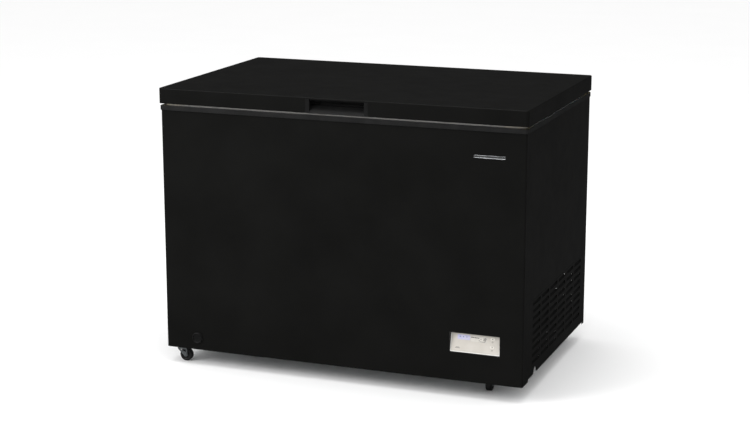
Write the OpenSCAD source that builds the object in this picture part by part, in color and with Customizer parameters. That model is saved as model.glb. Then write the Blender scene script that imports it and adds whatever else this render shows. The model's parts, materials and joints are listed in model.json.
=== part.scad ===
/* [Cabinet] */
// Width of the cabinet over its steel skin
body_w = 1130; // [900:10:1400]
// Depth of the cabinet over its steel skin
body_d = 700; // [580:10:840]
// Height of the closed freezer above the floor
total_h = 850; // [700:10:1020]
// Height of the skin's bottom edge above the floor
ground_gap = 50; // [46:1:70]
// Radius of the skin's vertical front corners
skin_corner_r = 5; // [3:1:12]

/* [Walls] */
// Thickness of the outer skin and other steel sheet
skin_t = 1; // [0.6:0.1:1.5]
// Gap behind the skin that holds the condenser tube
condenser_gap = 6; // [5.6:0.2:10]
// Thickness of the foam in every wall
foam_t = 49; // [35:1:70]
// Gap round the liner that holds the evaporator tube
evaporator_gap = 9; // [8.6:0.2:12]
// Thickness of the inner liner
liner_t = 1.2; // [0.8:0.1:2.5]
// Outer radius of the liner's vertical corners
liner_corner_r = 30; // [20:1:60]
// Height of the plastic top frame
top_frame_h = 14; // [11:1:24]
// How far the top frame stands out past the skin
top_frame_proud = 3; // [1:0.5:4]
// Width of the ledge inside the top frame that carries the basket
ledge_w = 8; // [6:1:12]
// Depth of that ledge below the frame's top
ledge_drop = 11; // [6:0.5:12]

/* [Lid] */
// Height of the lid's side skirt
lid_h = 46; // [38:1:70]
// How far the lid overhangs the cabinet on every side
lid_over = 5; // [4:1:12]
// Radius of the lid's vertical corners
lid_corner_r = 9; // [4:1:25]
// Thickness of the lid's inner panel
lid_liner_t = 1.5; // [1:0.1:3]
// How far the inner panel's plug hangs into the cavity
plug_h = 13; // [6:1:25]
// Space between the plug and the cavity's walls
plug_gap = 14; // [12:1:30]
// Height of the lid gasket when closed
gasket_h = 6; // [4:0.5:10]
// Width of the lid gasket
gasket_w = 14; // [8:1:24]
// How far the gasket is set in from the lid's edge
gasket_inset = 12; // [6:1:20]

/* [Handle] */
// Width of the handle insert in the lid's front
handle_w = 194; // [140:2:260]
// Width of each side cheek of the handle
cheek_w = 13; // [8:1:25]
// Depth of the handle insert behind the lid's front
handle_d = 35; // [28:1:60]
// Height of the strip of lid above the handle
handle_top = 4; // [2:1:10]
// Width of the finger slot
finger_w = 136; // [100:2:200]
// Height of the finger slot
finger_h = 9; // [7:1:16]
// Depth at which the finger slot starts
recess_d = 17; // [10:1:24]
// Depth of the finger slot behind that
finger_d = 14; // [10:1:30]

/* [Hinges] */
// Distance of each hinge from the cabinet's centre
hinge_x = 390; // [250:10:420]
// Distance of the hinge axis behind the cabinet
hinge_back = 18; // [16:1:24]
// Distance of the hinge axis below the gasket's underside
hinge_drop = 8; // [4:1:10]
// Radius of the hinge pin
hinge_pin_r = 4; // [3:0.5:6]
// Half of the distance over a hinge's two ears
ear_out = 26; // [22:1:34]
// Thickness of the hinge's sheet
hinge_t = 3; // [2:0.5:4]
// Height of the hinge base's plate on the cabinet's back
hinge_plate_h = 130; // [90:5:180]

/* [Castors] */
// Radius of every wheel
wheel_r = 20; // [16:1:24]
// Width of every wheel
wheel_w = 17; // [12:1:22]
// Radius of every wheel axle
axle_r = 3; // [2:0.5:4]
// Trail of the swivelling castors
trail = 16; // [12:1:20]
// Radius of the castor's swivel stem
stem_r = 5; // [4:0.5:7]
// Left castor's swivel, from the cabinet's left side
left_castor_x = 32; // [30:1:120]
// Left castor's swivel, from the cabinet's front
left_castor_y = 35; // [34:1:80]
// Right castor's swivel, from the cabinet's right side
right_castor_x = 124; // [30:1:180]
// Right castor's swivel, from the cabinet's front
right_castor_y = 75; // [34:1:80]
// Rear rollers' distance from the cabinet's sides
rear_roller_x = 60; // [40:1:160]
// Rear rollers' distance from the cabinet's back
rear_roller_y = 50; // [40:1:70]

/* [Control panel] */
// Width of the control panel's opening
panel_w = 153; // [120:1:180]
// Height of the control panel's opening
panel_h = 62; // [50:1:80]
// Distance of the panel's centre from the cabinet's right side
panel_x = 144; // [100:1:170]
// Height of the panel's centre above the skin's bottom edge
panel_z = 114; // [80:0.5:150]
// Depth of the control housing
panel_d = 45; // [35:1:60]
// Angle that the panel's face leans back
panel_tilt = 11.3; // [0:0.1:15]
// Width of the display window
display_w = 50; // [30:1:60]
// Height of the display window
display_h = 18; // [12:1:20]
// Width of each button
button_w = 13; // [10:1:24]
// Height of each button
button_h = 7; // [6:0.5:10]
// Travel of each button
button_travel = 0.8; // [0.4:0.1:1.5]

/* [Drain] */
// Distance of the drain from the cabinet's left side
drain_x = 103; // [90:1:200]
// Height of the drain outlet above the skin's bottom edge
drain_z = 37; // [30:1:42]
// Bore radius of the drain pipe
drain_r = 9; // [6:0.5:12]
// Wall of the drain pipe
drain_wall = 2; // [1:0.5:3]
// Radius of the drain's front flange
drain_flange_r = 17.5; // [15:0.5:24]

/* [Side grille] */
// Distance of the grille from the cabinet's front
grille_y = 59; // [40:1:120]
// Distance of the grille from the cabinet's back
grille_back = 23; // [18:1:120]
// Height of the grille above the skin's bottom edge
grille_h = 235; // [180:1:236]
// Height of the grille's bottom edge above the skin's
grille_lift = 7; // [0:0.5:12]
// Columns of slots in the grille
grille_cols = 6; // [3:1:8]
// Rows of slots in the grille
grille_rows = 9; // [4:1:10]
// Plain border at the grille's ends
grille_border = 37.5; // [20:0.5:60]
// Plain border above the top row of slots
grille_top_border = 8; // [6:0.5:20]
// Width of the webs between the slots of a row
slot_web = 15; // [8:1:40]
// Height of each slot
slot_h = 10; // [6:1:14]
// Width of the notch in the grille's bottom edge
notch_w = 34; // [16:1:40]
// Distance of the notch's centre from the cabinet's front
notch_y = 132; // [100:1:200]
// Height of the notch
notch_h = 26; // [18:1:34]

/* [Compressor bay] */
// Width of the compressor bay inside
bay_w = 262; // [220:2:320]
// Height of the bay's ceiling above the skin's bottom edge
bay_h = 250; // [236:2:320]
// Radius of the compressor's pot
pot_r = 72; // [60:1:76]
// Height of the compressor's pot
pot_h = 170; // [120:2:190]
// Radius of the domed edges of the pot
pot_dome = 34; // [10:1:40]
// Distance of the compressor from the cabinet's back
compressor_y = 290; // [200:5:360]

/* [Refrigeration circuit] */
// Radius of the evaporator tube
evaporator_r = 4; // [3:0.1:4.2]
// Radius of the condenser tube
condenser_r = 2.5; // [2:0.1:2.7]
// Turns of the evaporator round the deep part
lower_turns = 4; // [2:1:4]
// Turns of the evaporator round the upper part
upper_turns = 7; // [3:1:7]
// Height between the evaporator's turns round the deep part
evaporator_pitch = 56; // [30:1:60]
// Distance of the evaporator's top run below the liner's flange
evaporator_drop = 40.8; // [15:0.2:60]
// Runs of the condenser, an even number
condenser_runs = 8; // [4:2:8]
// Distance of the condenser's top run below the foam's top
condenser_drop = 74.8; // [20:0.2:120]

/* [Basket] */
// Length of the basket along the cabinet
basket_l = 240; // [160:5:320]
// Height of the basket
basket_h = 230; // [140:5:300]
// Wire thickness of the basket
wire_t = 3; // [2:0.5:5]
// Distance between the basket's wires
wire_pitch = 30; // [18:1:50]

/* [Fits] */
// Radial clearance of axles and stems in their bores
running = 0.05; // [0.02:0.01:0.09]
// Clearance between pieces that pass or surround each other
gap = 0.3; // [0.2:0.05:0.6]

/* [Hidden] */
$fn = 64;
cut = 1;

// The origin is on the floor under the middle of the closed freezer's box
ear_r = hinge_pin_r + 5;
half_w = body_w / 2;
front_y = -(body_d + hinge_back + ear_r - lid_over) / 2;

// Heights, from the floor up
base_z = ground_gap + 10;
bay_top = ground_gap + bay_h;
lid_z = total_h - lid_h;
frame_top = lid_z - gasket_h;
frame_z = frame_top - top_frame_h;
floor_z = base_z + skin_t + foam_t;
shelf_z = bay_top + skin_t + foam_t;
flange_z = frame_z - liner_t;

// Faces of the walls, across the cabinet from its middle and back from its front
bay_x = half_w - bay_w;
skin_in = half_w - skin_t;
foam_out = skin_in - condenser_gap;
foam_in = foam_out - foam_t;
liner_out = foam_in - evaporator_gap;
cavity_x = liner_out - liner_t;
foam_front = skin_t + condenser_gap;
back_in = body_d - skin_t;
liner_front = foam_front + foam_t + evaporator_gap;
liner_back = back_in - foam_t - evaporator_gap;
cavity_front = liner_front + liner_t;
cavity_back = liner_back - liner_t;
deep_out = bay_x - skin_t - foam_t - evaporator_gap;
liner_in_r = liner_corner_r - liner_t;
condenser_bend = 25;

// Hinges
pin_y = body_d + hinge_back;
pin_z = frame_top - hinge_drop;
knuckle_w = 8;
knuckle_r = hinge_pin_r + 4;
ear_in = ear_out - hinge_t;
leaf_y = body_d + lid_over;
leaf_h = 38;
spring_r = hinge_pin_r + 2.5;
spring_wire = 1.2;
screw_x = 14;
screw_r = 4.5;
screw_h = 2.4;

// Castors
fork_t = 1.5;
fork_eye_r = 6.5;
fork_top = 46;
fork_in = wheel_w / 2 + 0.8;
rail_h = 8;
rail_x = half_w - 3 * skin_t - gap;
rail_depth = 102;
rail_front = 10;
plate_t = 2;
plate_w = 46;
plate_top = base_z - fork_t;
stem_top = plate_top - 0.3;
bracket_axle_y = body_d - rear_roller_y;

// Control panel, in its own leaning frame: width across, depth inwards, height up the face
panel_cx = half_w - panel_x;
panel_cz = ground_gap + panel_z;
housing_t = 2;
fascia_t = 3;
fascia_w = panel_w - 2 * housing_t;
fascia_h = (panel_h - 2 * housing_t - 1) / cos(panel_tilt) - fascia_t * tan(panel_tilt) - 0.4;
fascia_y = skin_t + 1;
fascia_z = panel_cz - panel_h / 2 + housing_t + 0.4 + fascia_t * sin(panel_tilt);
display_cx = 10;
display_cz = fascia_h - display_h / 2 - 6;
button_cx = fascia_w / 2 - button_w / 2 - 17;
button_heights = [fascia_h * 0.4, fascia_h * 0.82];
light_r = 1.5;
light_pitch = 10;
light_first = 28;
light_drop = 12;
board_y = 14;

// Drain
drain_cx = -half_w + drain_x;
drain_cz = ground_gap + drain_z;
drain_out_r = drain_r + drain_wall;
drain_cy = liner_front + 35;
outlet_l = 15;
cap_front = 4.8;
cap_t = 3;

// Grille
grille_z = ground_gap + grille_h;
grille_lip = 6;
grille_l = body_d - grille_y - grille_back;
slot_pitch_y = (grille_l - 2 * grille_border + slot_web) / grille_cols;
slot_l = slot_pitch_y - slot_web;
slot_pitch_z = 22;

// Compressor bay
tray_t = 1.5;
tray_x = [bay_x + 8, half_w - 72];
foot_z = base_z + tray_t + 14;
foot_t = 2.5;
pot_x = (tray_x[0] + tray_x[1]) / 2;
pot_y = body_d - compressor_y;
pot_z = foot_z + foot_t;
foot_x = 62;
foot_y = 82;
stud_r = 4;
lead_out = 13;
lead_heights = [42, 55];
tail_x = skin_in - condenser_gap / 2;
tail_z = bay_top - 5;
inlet_y = body_d - 40;
outlet_y = body_d - 16;
duct_y = liner_back + evaporator_gap + 25;
suction_x = bay_x + 14;
coil_end_x = suction_x - evaporator_r - 1;
duct_r = evaporator_r + 1.5;
evaporator_y = liner_back + evaporator_gap / 2;
link_x = 12;
lower_z = floor_z + 26;
upper_z = shelf_z + 31;
return_z = flange_z - evaporator_drop;
upper_pitch = (return_z - 25 - upper_z) / (upper_turns - 1);
capillary_r = 1.2;
dryer_r = 10;
dryer_l = 80;
dryer_x = bay_x + 26;
dryer_y = body_d - 62;
dryer_z = base_z + 66;
vent_side = 20;
vent_x = bay_x + vent_side;
vent_w = bay_w - 2 * vent_side;
vent_z = [base_z + 8, bay_top - 20];
gland_x = bay_x + 40;
gland_z = base_z + 30;
gland_r = 3.6;
gland_out = 11;

// Basket
basket_x = -cavity_x + liner_in_r + 1;
basket_gap = 3;
basket_top = frame_top - ledge_drop;
basket_z = basket_top - basket_h;
hook_w = 6;

module place() {
  translate([0, front_y, 0]) children();
}

// A block between two limits along each axis
module block(x, y, z) {
  translate([x[0], y[0], z[0]]) cube([x[1] - x[0], y[1] - y[0], z[1] - z[0]]);
}

// A rectangle between two limits each way, with a radius at its corners
module rounded_area(x, y, r) {
  translate([x[0] + r, y[0]]) square([x[1] - x[0] - 2 * r, y[1] - y[0]]);
  translate([x[0], y[0] + r]) square([x[1] - x[0], y[1] - y[0] - 2 * r]);
  for (cx = [x[0] + r, x[1] - r])
    for (cy = [y[0] + r, y[1] - r])
      translate([cx, cy]) circle(r);
}

module rounded_block(x, y, z, r) {
  translate([0, 0, z[0]]) linear_extrude(z[1] - z[0]) rounded_area(x, y, r);
}

// As rounded_block, with square corners at the back
module front_rounded_block(x, y, z, r) {
  rounded_block(x, y, z, r);
  block(x, [y[1] - 2 * r, y[1]], z);
}

// A cylinder along X or Y between two limits
module bar_x(x, y, z, r) {
  translate([x[0], y, z]) rotate([0, 90, 0]) cylinder(r = r, h = x[1] - x[0]);
}

module bar_y(x, y, z, r) {
  translate([x, y[0], z]) rotate([-90, 0, 0]) cylinder(r = r, h = y[1] - y[0]);
}

// A round rod from one point to another
module rod(a, b, r) {
  d = b - a;
  translate(a)
    rotate([0, acos(d[2] / norm(d)), atan2(d[1], d[0])])
      cylinder(r = r, h = norm(d));
}

// A tube that runs through a list of points, with ball corners
module tube_run(points, r) {
  for (i = [1 : len(points) - 1]) rod(points[i - 1], points[i], r);
  if (len(points) > 2)
    for (i = [1 : len(points) - 2]) translate(points[i]) sphere(r);
}

// A level quarter bend of a tube
module quarter_bend(x, y, z, start, bend, r) {
  translate([x, y, z])
    rotate([0, 0, start])
      rotate_extrude(angle = 90)
        translate([bend, 0]) circle(r);
}

// One level turn of tube round a rounded rectangle, open at the back between two places
module coil_turn(x, y, z, bend, open, r) {
  inner_x = [x[0] + bend, x[1] - bend];
  inner_y = [y[0] + bend, y[1] - bend];
  rod([open[1], y[1], z], [inner_x[1], y[1], z], r);
  quarter_bend(inner_x[1], inner_y[1], z, 0, bend, r);
  rod([x[1], inner_y[1], z], [x[1], inner_y[0], z], r);
  quarter_bend(inner_x[1], inner_y[0], z, 270, bend, r);
  rod([inner_x[1], y[0], z], [inner_x[0], y[0], z], r);
  quarter_bend(inner_x[0], inner_y[0], z, 180, bend, r);
  rod([x[0], inner_y[0], z], [x[0], inner_y[1], z], r);
  quarter_bend(inner_x[0], inner_y[1], z, 90, bend, r);
  rod([inner_x[0], y[1], z], [open[0], y[1], z], r);
  for (end = open) translate([end, y[1], z]) sphere(r);
}

module notch_profile() {
  translate([-notch_w / 2, -cut]) square([notch_w, notch_h - notch_w / 2 + cut]);
  translate([0, notch_h - notch_w / 2]) circle(notch_w / 2);
}

// Turns a drawing in the plane of the right side so that it faces along X
module on_side(x, y, z, t) {
  translate([x, y, z]) rotate([90, 0, 90]) linear_extrude(t) children();
}

// Cabinet

module cabinet_shell() color([0.1, 0.1, 0.1]) place() {
  flange_w = 15;
  difference() {
    union() {
      difference() {
        front_rounded_block([-half_w, half_w], [0, body_d], [ground_gap, frame_z], skin_corner_r);
        front_rounded_block([-skin_in, skin_in], [skin_t, body_d + cut * 20],
          [ground_gap - cut, frame_z + cut], skin_corner_r - skin_t);
      }
      block([-half_w + 12, half_w - 12], [skin_t / 2, flange_w], [ground_gap, ground_gap + skin_t]);
      block([-half_w + skin_t / 2, -half_w + flange_w], [12, body_d - 12],
        [ground_gap, ground_gap + skin_t]);
    }
    block([panel_cx - panel_w / 2, panel_cx + panel_w / 2], [-cut, skin_t + cut],
      [panel_cz - panel_h / 2, panel_cz + panel_h / 2]);
    bar_y(drain_cx, [-cut, skin_t + cut], drain_cz, drain_out_r + 3 + gap);
    block([skin_in - cut, half_w + cut], [grille_y, grille_y + grille_l], [ground_gap - cut, grille_z]);
  }
}

module back_panel() color([0.55, 0.56, 0.57]) place() difference() {
  block([-skin_in, skin_in], [back_in, body_d], [ground_gap, frame_z]);
  block([vent_x, vent_x + vent_w], [back_in - cut, body_d + cut], vent_z);
}

module base_panel() color([0.55, 0.56, 0.57]) place() difference() {
  intersection() {
    translate([0, back_in, 0]) rotate([90, 0, 0]) linear_extrude(back_in - skin_t) polygon([
      [-skin_in, base_z], [bay_x, base_z], [bay_x, bay_top], [skin_in, bay_top],
      [skin_in, bay_top + skin_t], [bay_x - skin_t, bay_top + skin_t],
      [bay_x - skin_t, base_z + skin_t], [-skin_in, base_z + skin_t]
    ]);
    front_rounded_block([-skin_in, skin_in], [skin_t, body_d], [base_z - cut, bay_top + 2 * skin_t],
      skin_corner_r - skin_t + gap);
  }
  block([foam_out - gap, skin_in + cut], [inlet_y - 12, outlet_y + 10],
    [bay_top - cut, bay_top + 2 * skin_t]);
  translate([suction_x, duct_y, bay_top - cut]) cylinder(r = duct_r, h = skin_t + 2 * cut);
  bar_x([bay_x - skin_t - cut, bay_x + cut], duct_y, lower_z, duct_r);
}

module insulation_foam() color([0.86, 0.8, 0.62]) place() difference() {
  corner = condenser_bend - condenser_gap / 2;
  front_rounded_block([-foam_out, foam_out], [foam_front, back_in], [base_z + skin_t, flange_z], corner);
  block([bay_x - skin_t, half_w], [0, body_d], [base_z, bay_top + skin_t]);
  rounded_block([-foam_in, foam_in], [liner_front - evaporator_gap, liner_back + evaporator_gap],
    [shelf_z, flange_z + cut], liner_corner_r + evaporator_gap);
  rounded_block([-foam_in, deep_out + evaporator_gap],
    [liner_front - evaporator_gap, liner_back + evaporator_gap],
    [floor_z, shelf_z + cut], liner_corner_r + evaporator_gap);
  translate([suction_x, duct_y, bay_top]) cylinder(r = duct_r, h = return_z - bay_top + duct_r);
  bar_y(suction_x, [liner_back, duct_y], return_z, duct_r);
  bar_x([link_x - duct_r, bay_x], duct_y, lower_z, duct_r);
  bar_y(link_x, [liner_back, duct_y], lower_z, duct_r);
  bar_y(drain_cx, [0, drain_cy], drain_cz, drain_out_r + 3 + gap);
  translate([drain_cx, drain_cy, drain_cz]) {
    sphere(drain_out_r + 3 + gap);
    cylinder(r = drain_out_r + 3 + gap, h = floor_z - drain_cz + cut);
  }
}

module inner_liner() color([0.9, 0.91, 0.92]) place() difference() {
  union() {
    rounded_block([-liner_out, liner_out], [liner_front, liner_back], [shelf_z, frame_z], liner_corner_r);
    rounded_block([-liner_out, deep_out], [liner_front, liner_back], [floor_z, shelf_z + liner_t],
      liner_corner_r);
    rounded_block([-liner_out - 20, liner_out + 20], [liner_front - 20, liner_back + 20],
      [flange_z, frame_z], liner_corner_r + 20);
  }
  rounded_block([-cavity_x, cavity_x], [cavity_front, cavity_back],
    [shelf_z + liner_t, frame_z + cut], liner_in_r);
  rounded_block([-cavity_x, deep_out - liner_t], [cavity_front, cavity_back],
    [floor_z + liner_t, shelf_z + 2 * liner_t], liner_in_r);
  translate([drain_cx, drain_cy, floor_z - cut]) cylinder(r = drain_out_r + gap, h = liner_t + 2 * cut);
}

module top_frame() color([0.08, 0.08, 0.085]) place() difference() {
  rounded_block([-half_w - top_frame_proud, half_w + top_frame_proud],
    [-top_frame_proud, body_d + top_frame_proud], [frame_z, frame_top], skin_corner_r + top_frame_proud);
  rounded_block([-cavity_x, cavity_x], [cavity_front, cavity_back],
    [frame_z - cut, frame_top + cut], liner_in_r);
  rounded_block([-cavity_x - ledge_w, cavity_x + ledge_w], [cavity_front - ledge_w, cavity_back + ledge_w],
    [frame_top - ledge_drop, frame_top + cut], liner_in_r + ledge_w);
}

module name_badge() color([0.75, 0.75, 0.76]) place() {
  badge_w = 94;
  badge_h = 8;
  badge_t = 1.2;
  badge_x = half_w - 60 - badge_w;
  badge_z = frame_z - 72;
  rotate([90, 0, 0]) linear_extrude(badge_t)
    rounded_area([badge_x, badge_x + badge_w], [badge_z - badge_h / 2, badge_z + badge_h / 2], 2);
}

module side_grille() color([0.07, 0.07, 0.07]) place() {
  first_z = grille_h - grille_top_border - slot_h - (grille_rows - 1) * slot_pitch_z;
  difference() {
    union() {
      on_side(half_w - 1.5, grille_y, ground_gap, 1.5)
        translate([gap, grille_lift]) square([grille_l - 2 * gap, grille_h - gap - grille_lift]);
      on_side(half_w - 3 * skin_t, grille_y, ground_gap, 2 * skin_t)
        translate([-grille_lip, grille_lift])
          square([grille_l + 2 * grille_lip, grille_h + grille_lip - grille_lift]);
    }
    on_side(half_w - 10, grille_y, ground_gap, 20) {
      for (c = [0 : grille_cols - 1])
        for (r = [0 : grille_rows - 1])
          translate([grille_border + c * slot_pitch_y, first_z + r * slot_pitch_z])
            square([slot_l, slot_h]);
      translate([notch_y - grille_y, 0]) notch_profile();
    }
  }
}

module rear_vent_cover() color([0.2, 0.2, 0.2]) place() {
  lip = 8;
  x = [vent_x - lip, vent_x + vent_w + lip];
  z = [vent_z[0] - lip, vent_z[1] + lip];
  slots = 9;
  pitch = (vent_z[1] - vent_z[0] - 60) / slots;
  difference() {
    block(x, [body_d, body_d + skin_t], z);
    for (i = [0 : slots - 1])
      block([x[0] + 30, x[1] - 30], [body_d - cut, body_d + skin_t + cut],
        [vent_z[0] + 50 + i * pitch, vent_z[0] + 50 + i * pitch + 6]);
    bar_y(gland_x, [body_d - cut, body_d + skin_t + cut], gland_z, gland_r + 3.2);
  }
}

// A channel across the cabinet's underside, open below
module rail(y) {
  difference() {
    block([-rail_x, rail_x], y, [base_z - rail_h, base_z]);
    block([-half_w, half_w], [y[0] + fork_t, y[1] - fork_t], [base_z - rail_h - cut, plate_top]);
  }
}

module front_rail() color([0.5, 0.51, 0.52]) place() difference() {
  rail([rail_front + 8, rail_front + rail_depth - 8]);
  for (s = [-1, 1]) translate([s * 60, rail_front + rail_depth / 2, base_z - 3]) cylinder(r = 4, h = 6);
}

module rear_rail() color([0.5, 0.51, 0.52]) place() rail([body_d - rail_depth - 4, body_d - 8]);

module tray_holes(r, z) {
  for (sx = [-1, 1])
    for (sy = [-1, 1])
      translate([pot_x + sx * foot_x, pot_y + sy * foot_y, z[0]]) cylinder(r = r, h = z[1] - z[0]);
}

module compressor_tray() color([0.45, 0.46, 0.47]) place() {
  block(tray_x, [rail_front + 20, body_d - 20], [base_z, base_z + tray_t]);
  for (x = [tray_x[0], tray_x[1] - tray_t])
    block([x, x + tray_t], [rail_front + 20, body_d - 20], [base_z + tray_t, base_z + 12]);
  tray_holes(stud_r, [base_z + tray_t, foot_z + foot_t + 4]);
}

// Compressor bay

module compressor() color([0.05, 0.05, 0.05]) place() {
  seam_z = pot_z + pot_h * 0.55;
  difference() {
    block([pot_x - foot_x - 12, pot_x + foot_x + 12], [pot_y - foot_y - 12, pot_y + foot_y + 12],
      [foot_z, foot_z + foot_t]);
    tray_holes(stud_r + gap, [foot_z - cut, foot_z + foot_t + cut]);
  }
  translate([pot_x, pot_y, pot_z]) rotate_extrude() difference() {
    union() {
      square([pot_r - pot_dome, pot_h]);
      translate([0, pot_dome]) square([pot_r, pot_h - 2 * pot_dome]);
      for (z = [pot_dome, pot_h - pot_dome]) translate([pot_r - pot_dome, z]) circle(pot_dome);
    }
    translate([-pot_r, -cut]) square([pot_r, pot_h + 2 * cut]);
  }
  translate([pot_x, pot_y, seam_z]) cylinder(r = pot_r + 3, h = 4);
}

module compressor_grommets() color([0.06, 0.06, 0.06]) place() difference() {
  tray_holes(11, [base_z + tray_t, foot_z]);
  tray_holes(stud_r + gap, [base_z, foot_z + cut]);
}

module terminal_cover() color([0.08, 0.08, 0.08]) place() difference() {
  block([pot_x - 30, pot_x + 30], [pot_y - pot_r - 26, pot_y - pot_r + 8], [pot_z + 30, pot_z + 86]);
  translate([pot_x, pot_y, pot_z]) cylinder(r = pot_r + gap, h = pot_h);
  for (z = lead_heights) bar_x([pot_x + 20, pot_x + 31], pot_y - pot_r - lead_out, pot_z + z, 4);
}

module filter_dryer() color([0.72, 0.4, 0.25]) place() translate([dryer_x, dryer_y, dryer_z]) {
  cone_h = 14;
  cylinder(r1 = 3.4, r2 = dryer_r, h = cone_h);
  translate([0, 0, cone_h]) cylinder(r = dryer_r, h = dryer_l - 2 * cone_h);
  translate([0, 0, dryer_l - cone_h]) cylinder(r1 = dryer_r, r2 = 3.4, h = cone_h);
}

module discharge_pipe() color([0.72, 0.42, 0.28]) place() {
  port = pot_z + 120;
  tube_run([
    [pot_x + pot_r - 0.5, pot_y + 20, port], [pot_x + pot_r + 26, pot_y + 20, port],
    [pot_x + pot_r + 26, pot_y + 20, tail_z - 14], [pot_x + pot_r + 26, inlet_y, tail_z - 14],
    [tail_x - 24, inlet_y, tail_z], [tail_x - 15, inlet_y, tail_z]
  ], condenser_r);
}

module liquid_pipe() color([0.72, 0.42, 0.28]) place() tube_run([
  [tail_x - 15, outlet_y, tail_z], [dryer_x, outlet_y, tail_z],
  [dryer_x, dryer_y, tail_z], [dryer_x, dryer_y, dryer_z + dryer_l]
], condenser_r);

module suction_pipe() color([0.72, 0.42, 0.28]) place() tube_run([
  [coil_end_x, evaporator_y, return_z], [suction_x, evaporator_y, return_z], [suction_x, duct_y, return_z],
  [suction_x, duct_y, bay_top - 42], [suction_x, pot_y, bay_top - 42],
  [suction_x, pot_y, pot_z + 90], [pot_x - pot_r, pot_y, pot_z + 90]
], evaporator_r);

module capillary_tube() color([0.72, 0.42, 0.28]) place() {
  low = dryer_z - 14;
  tube_run([
    [dryer_x, dryer_y, dryer_z], [dryer_x, dryer_y, low], [bay_x + 8, dryer_y, low],
    [bay_x + 8, duct_y, low], [bay_x + 8, duct_y, lower_z], [link_x, duct_y, lower_z],
    [link_x, evaporator_y + evaporator_r + 0.1, lower_z]
  ], capillary_r);
}

module evaporator_coil() color([0.75, 0.76, 0.77]) place() {
  out = evaporator_gap / 2;
  bend = liner_corner_r + out;
  y = [liner_front - out, evaporator_y];
  levels = concat(
    [for (i = [0 : lower_turns - 1]) [lower_z + i * evaporator_pitch, deep_out + out]],
    [for (i = [0 : upper_turns - 1]) [upper_z + i * upper_pitch, liner_out + out]]
  );
  last = levels[len(levels) - 1][0];
  for (level = levels)
    coil_turn([-liner_out - out, level[1]], y, level[0], bend, [-link_x, link_x], evaporator_r);
  for (i = [1 : len(levels) - 1]) {
    z = [levels[i - 1][0], levels[i][0]];
    tube_run([
      [-link_x, evaporator_y, z[0]], [-link_x, evaporator_y, (z[0] + z[1]) / 2],
      [link_x, evaporator_y, (z[0] + z[1]) / 2], [link_x, evaporator_y, z[1]]
    ], evaporator_r);
  }
  tube_run([
    [-link_x, evaporator_y, last], [-link_x, evaporator_y, return_z], [coil_end_x, evaporator_y, return_z]
  ], evaporator_r);
}

module condenser_coil() color([0.4, 0.4, 0.4]) place() {
  y = skin_t + condenser_gap / 2;
  x = tail_x;
  bend = condenser_bend;
  first = bay_top + 30;
  top = flange_z - condenser_drop;
  pitch = (top - first) / (condenser_runs - 1);
  for (i = [0 : condenser_runs - 1]) {
    z = first + i * pitch;
    right_end = i == condenser_runs - 1 ? outlet_y : inlet_y;
    rod([x, right_end, z], [x, y + bend, z], condenser_r);
    quarter_bend(x - bend, y + bend, z, 270, bend, condenser_r);
    rod([x - bend, y, z], [-x + bend, y, z], condenser_r);
    quarter_bend(-x + bend, y + bend, z, 180, bend, condenser_r);
    rod([-x, y + bend, z], [-x, inlet_y, z], condenser_r);
    for (end = [[x, right_end, z], [-x, inlet_y, z]]) translate(end) sphere(condenser_r);
    if (i < condenser_runs - 1) {
      side = i % 2 == 0 ? -x : x;
      rod([side, inlet_y, z], [side, inlet_y, z + pitch], condenser_r);
    }
  }
  tube_run([[x, inlet_y, first], [x, inlet_y, tail_z], [x - 15, inlet_y, tail_z]], condenser_r);
  tube_run([[x, outlet_y, top], [x, outlet_y, tail_z], [x - 15, outlet_y, tail_z]], condenser_r);
}

module wiring_harness() color([0.9, 0.9, 0.88]) place() {
  lead_y = panel_d + skin_t + 14;
  cover_y = pot_y - pot_r - lead_out;
  upper = pot_z + lead_heights[1];
  lower = pot_z + lead_heights[0];
  tube_run([
    [panel_cx, panel_d + skin_t, panel_cz], [panel_cx, lead_y, panel_cz], [panel_cx, lead_y, upper],
    [pot_x + 44, lead_y, upper], [pot_x + 44, cover_y, upper], [pot_x + 30, cover_y, upper]
  ], 3);
  tube_run([
    [gland_x, body_d - 8, gland_z], [gland_x, body_d - 24, gland_z], [tray_x[1] + 12, body_d - 24, gland_z],
    [tray_x[1] + 12, cover_y, gland_z], [tray_x[1] + 12, cover_y, lower], [pot_x + 30, cover_y, lower]
  ], 3);
}

module cord_gland() color([0.05, 0.05, 0.05]) place() difference() {
  union() {
    bar_y(gland_x, [body_d - 6, body_d + skin_t + 12], gland_z, gland_r + 3);
    bar_y(gland_x, [body_d + skin_t, body_d + skin_t + 3], gland_z, gland_out);
    bar_y(gland_x, [body_d - 6, body_d], gland_z, gland_r + 4.4);
  }
  bar_y(gland_x, [body_d - 6 - cut, body_d + skin_t + 12 + cut], gland_z, gland_r);
}

// Control panel

module at_fascia() {
  translate([panel_cx, fascia_y, fascia_z]) rotate([-panel_tilt, 0, 0]) children();
}

// A rounded rectangle on the leaning face, between two depths
module face_block(w, h, y, r) {
  translate([0, y[1], 0]) rotate([90, 0, 0]) linear_extrude(y[1] - y[0])
    rounded_area([-w / 2, w / 2], [-h / 2, h / 2], r);
}

module control_housing() color([0.12, 0.12, 0.12]) place() {
  x = [panel_cx - panel_w / 2, panel_cx + panel_w / 2];
  z = [panel_cz - panel_h / 2, panel_cz + panel_h / 2];
  difference() {
    union() {
      block([x[0] - 5, x[1] + 5], [skin_t, skin_t + 2], [z[0] - 5, z[1] + 5]);
      block([x[0] + gap, x[1] - gap], [0, skin_t + panel_d], [z[0] + gap, z[1] - gap]);
    }
    block([x[0] + housing_t, x[1] - housing_t], [-cut, skin_t + panel_d - housing_t],
      [z[0] + housing_t, z[1] - housing_t]);
    bar_y(panel_cx, [0, body_d / 2], panel_cz, 3 + gap);
  }
}

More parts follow.
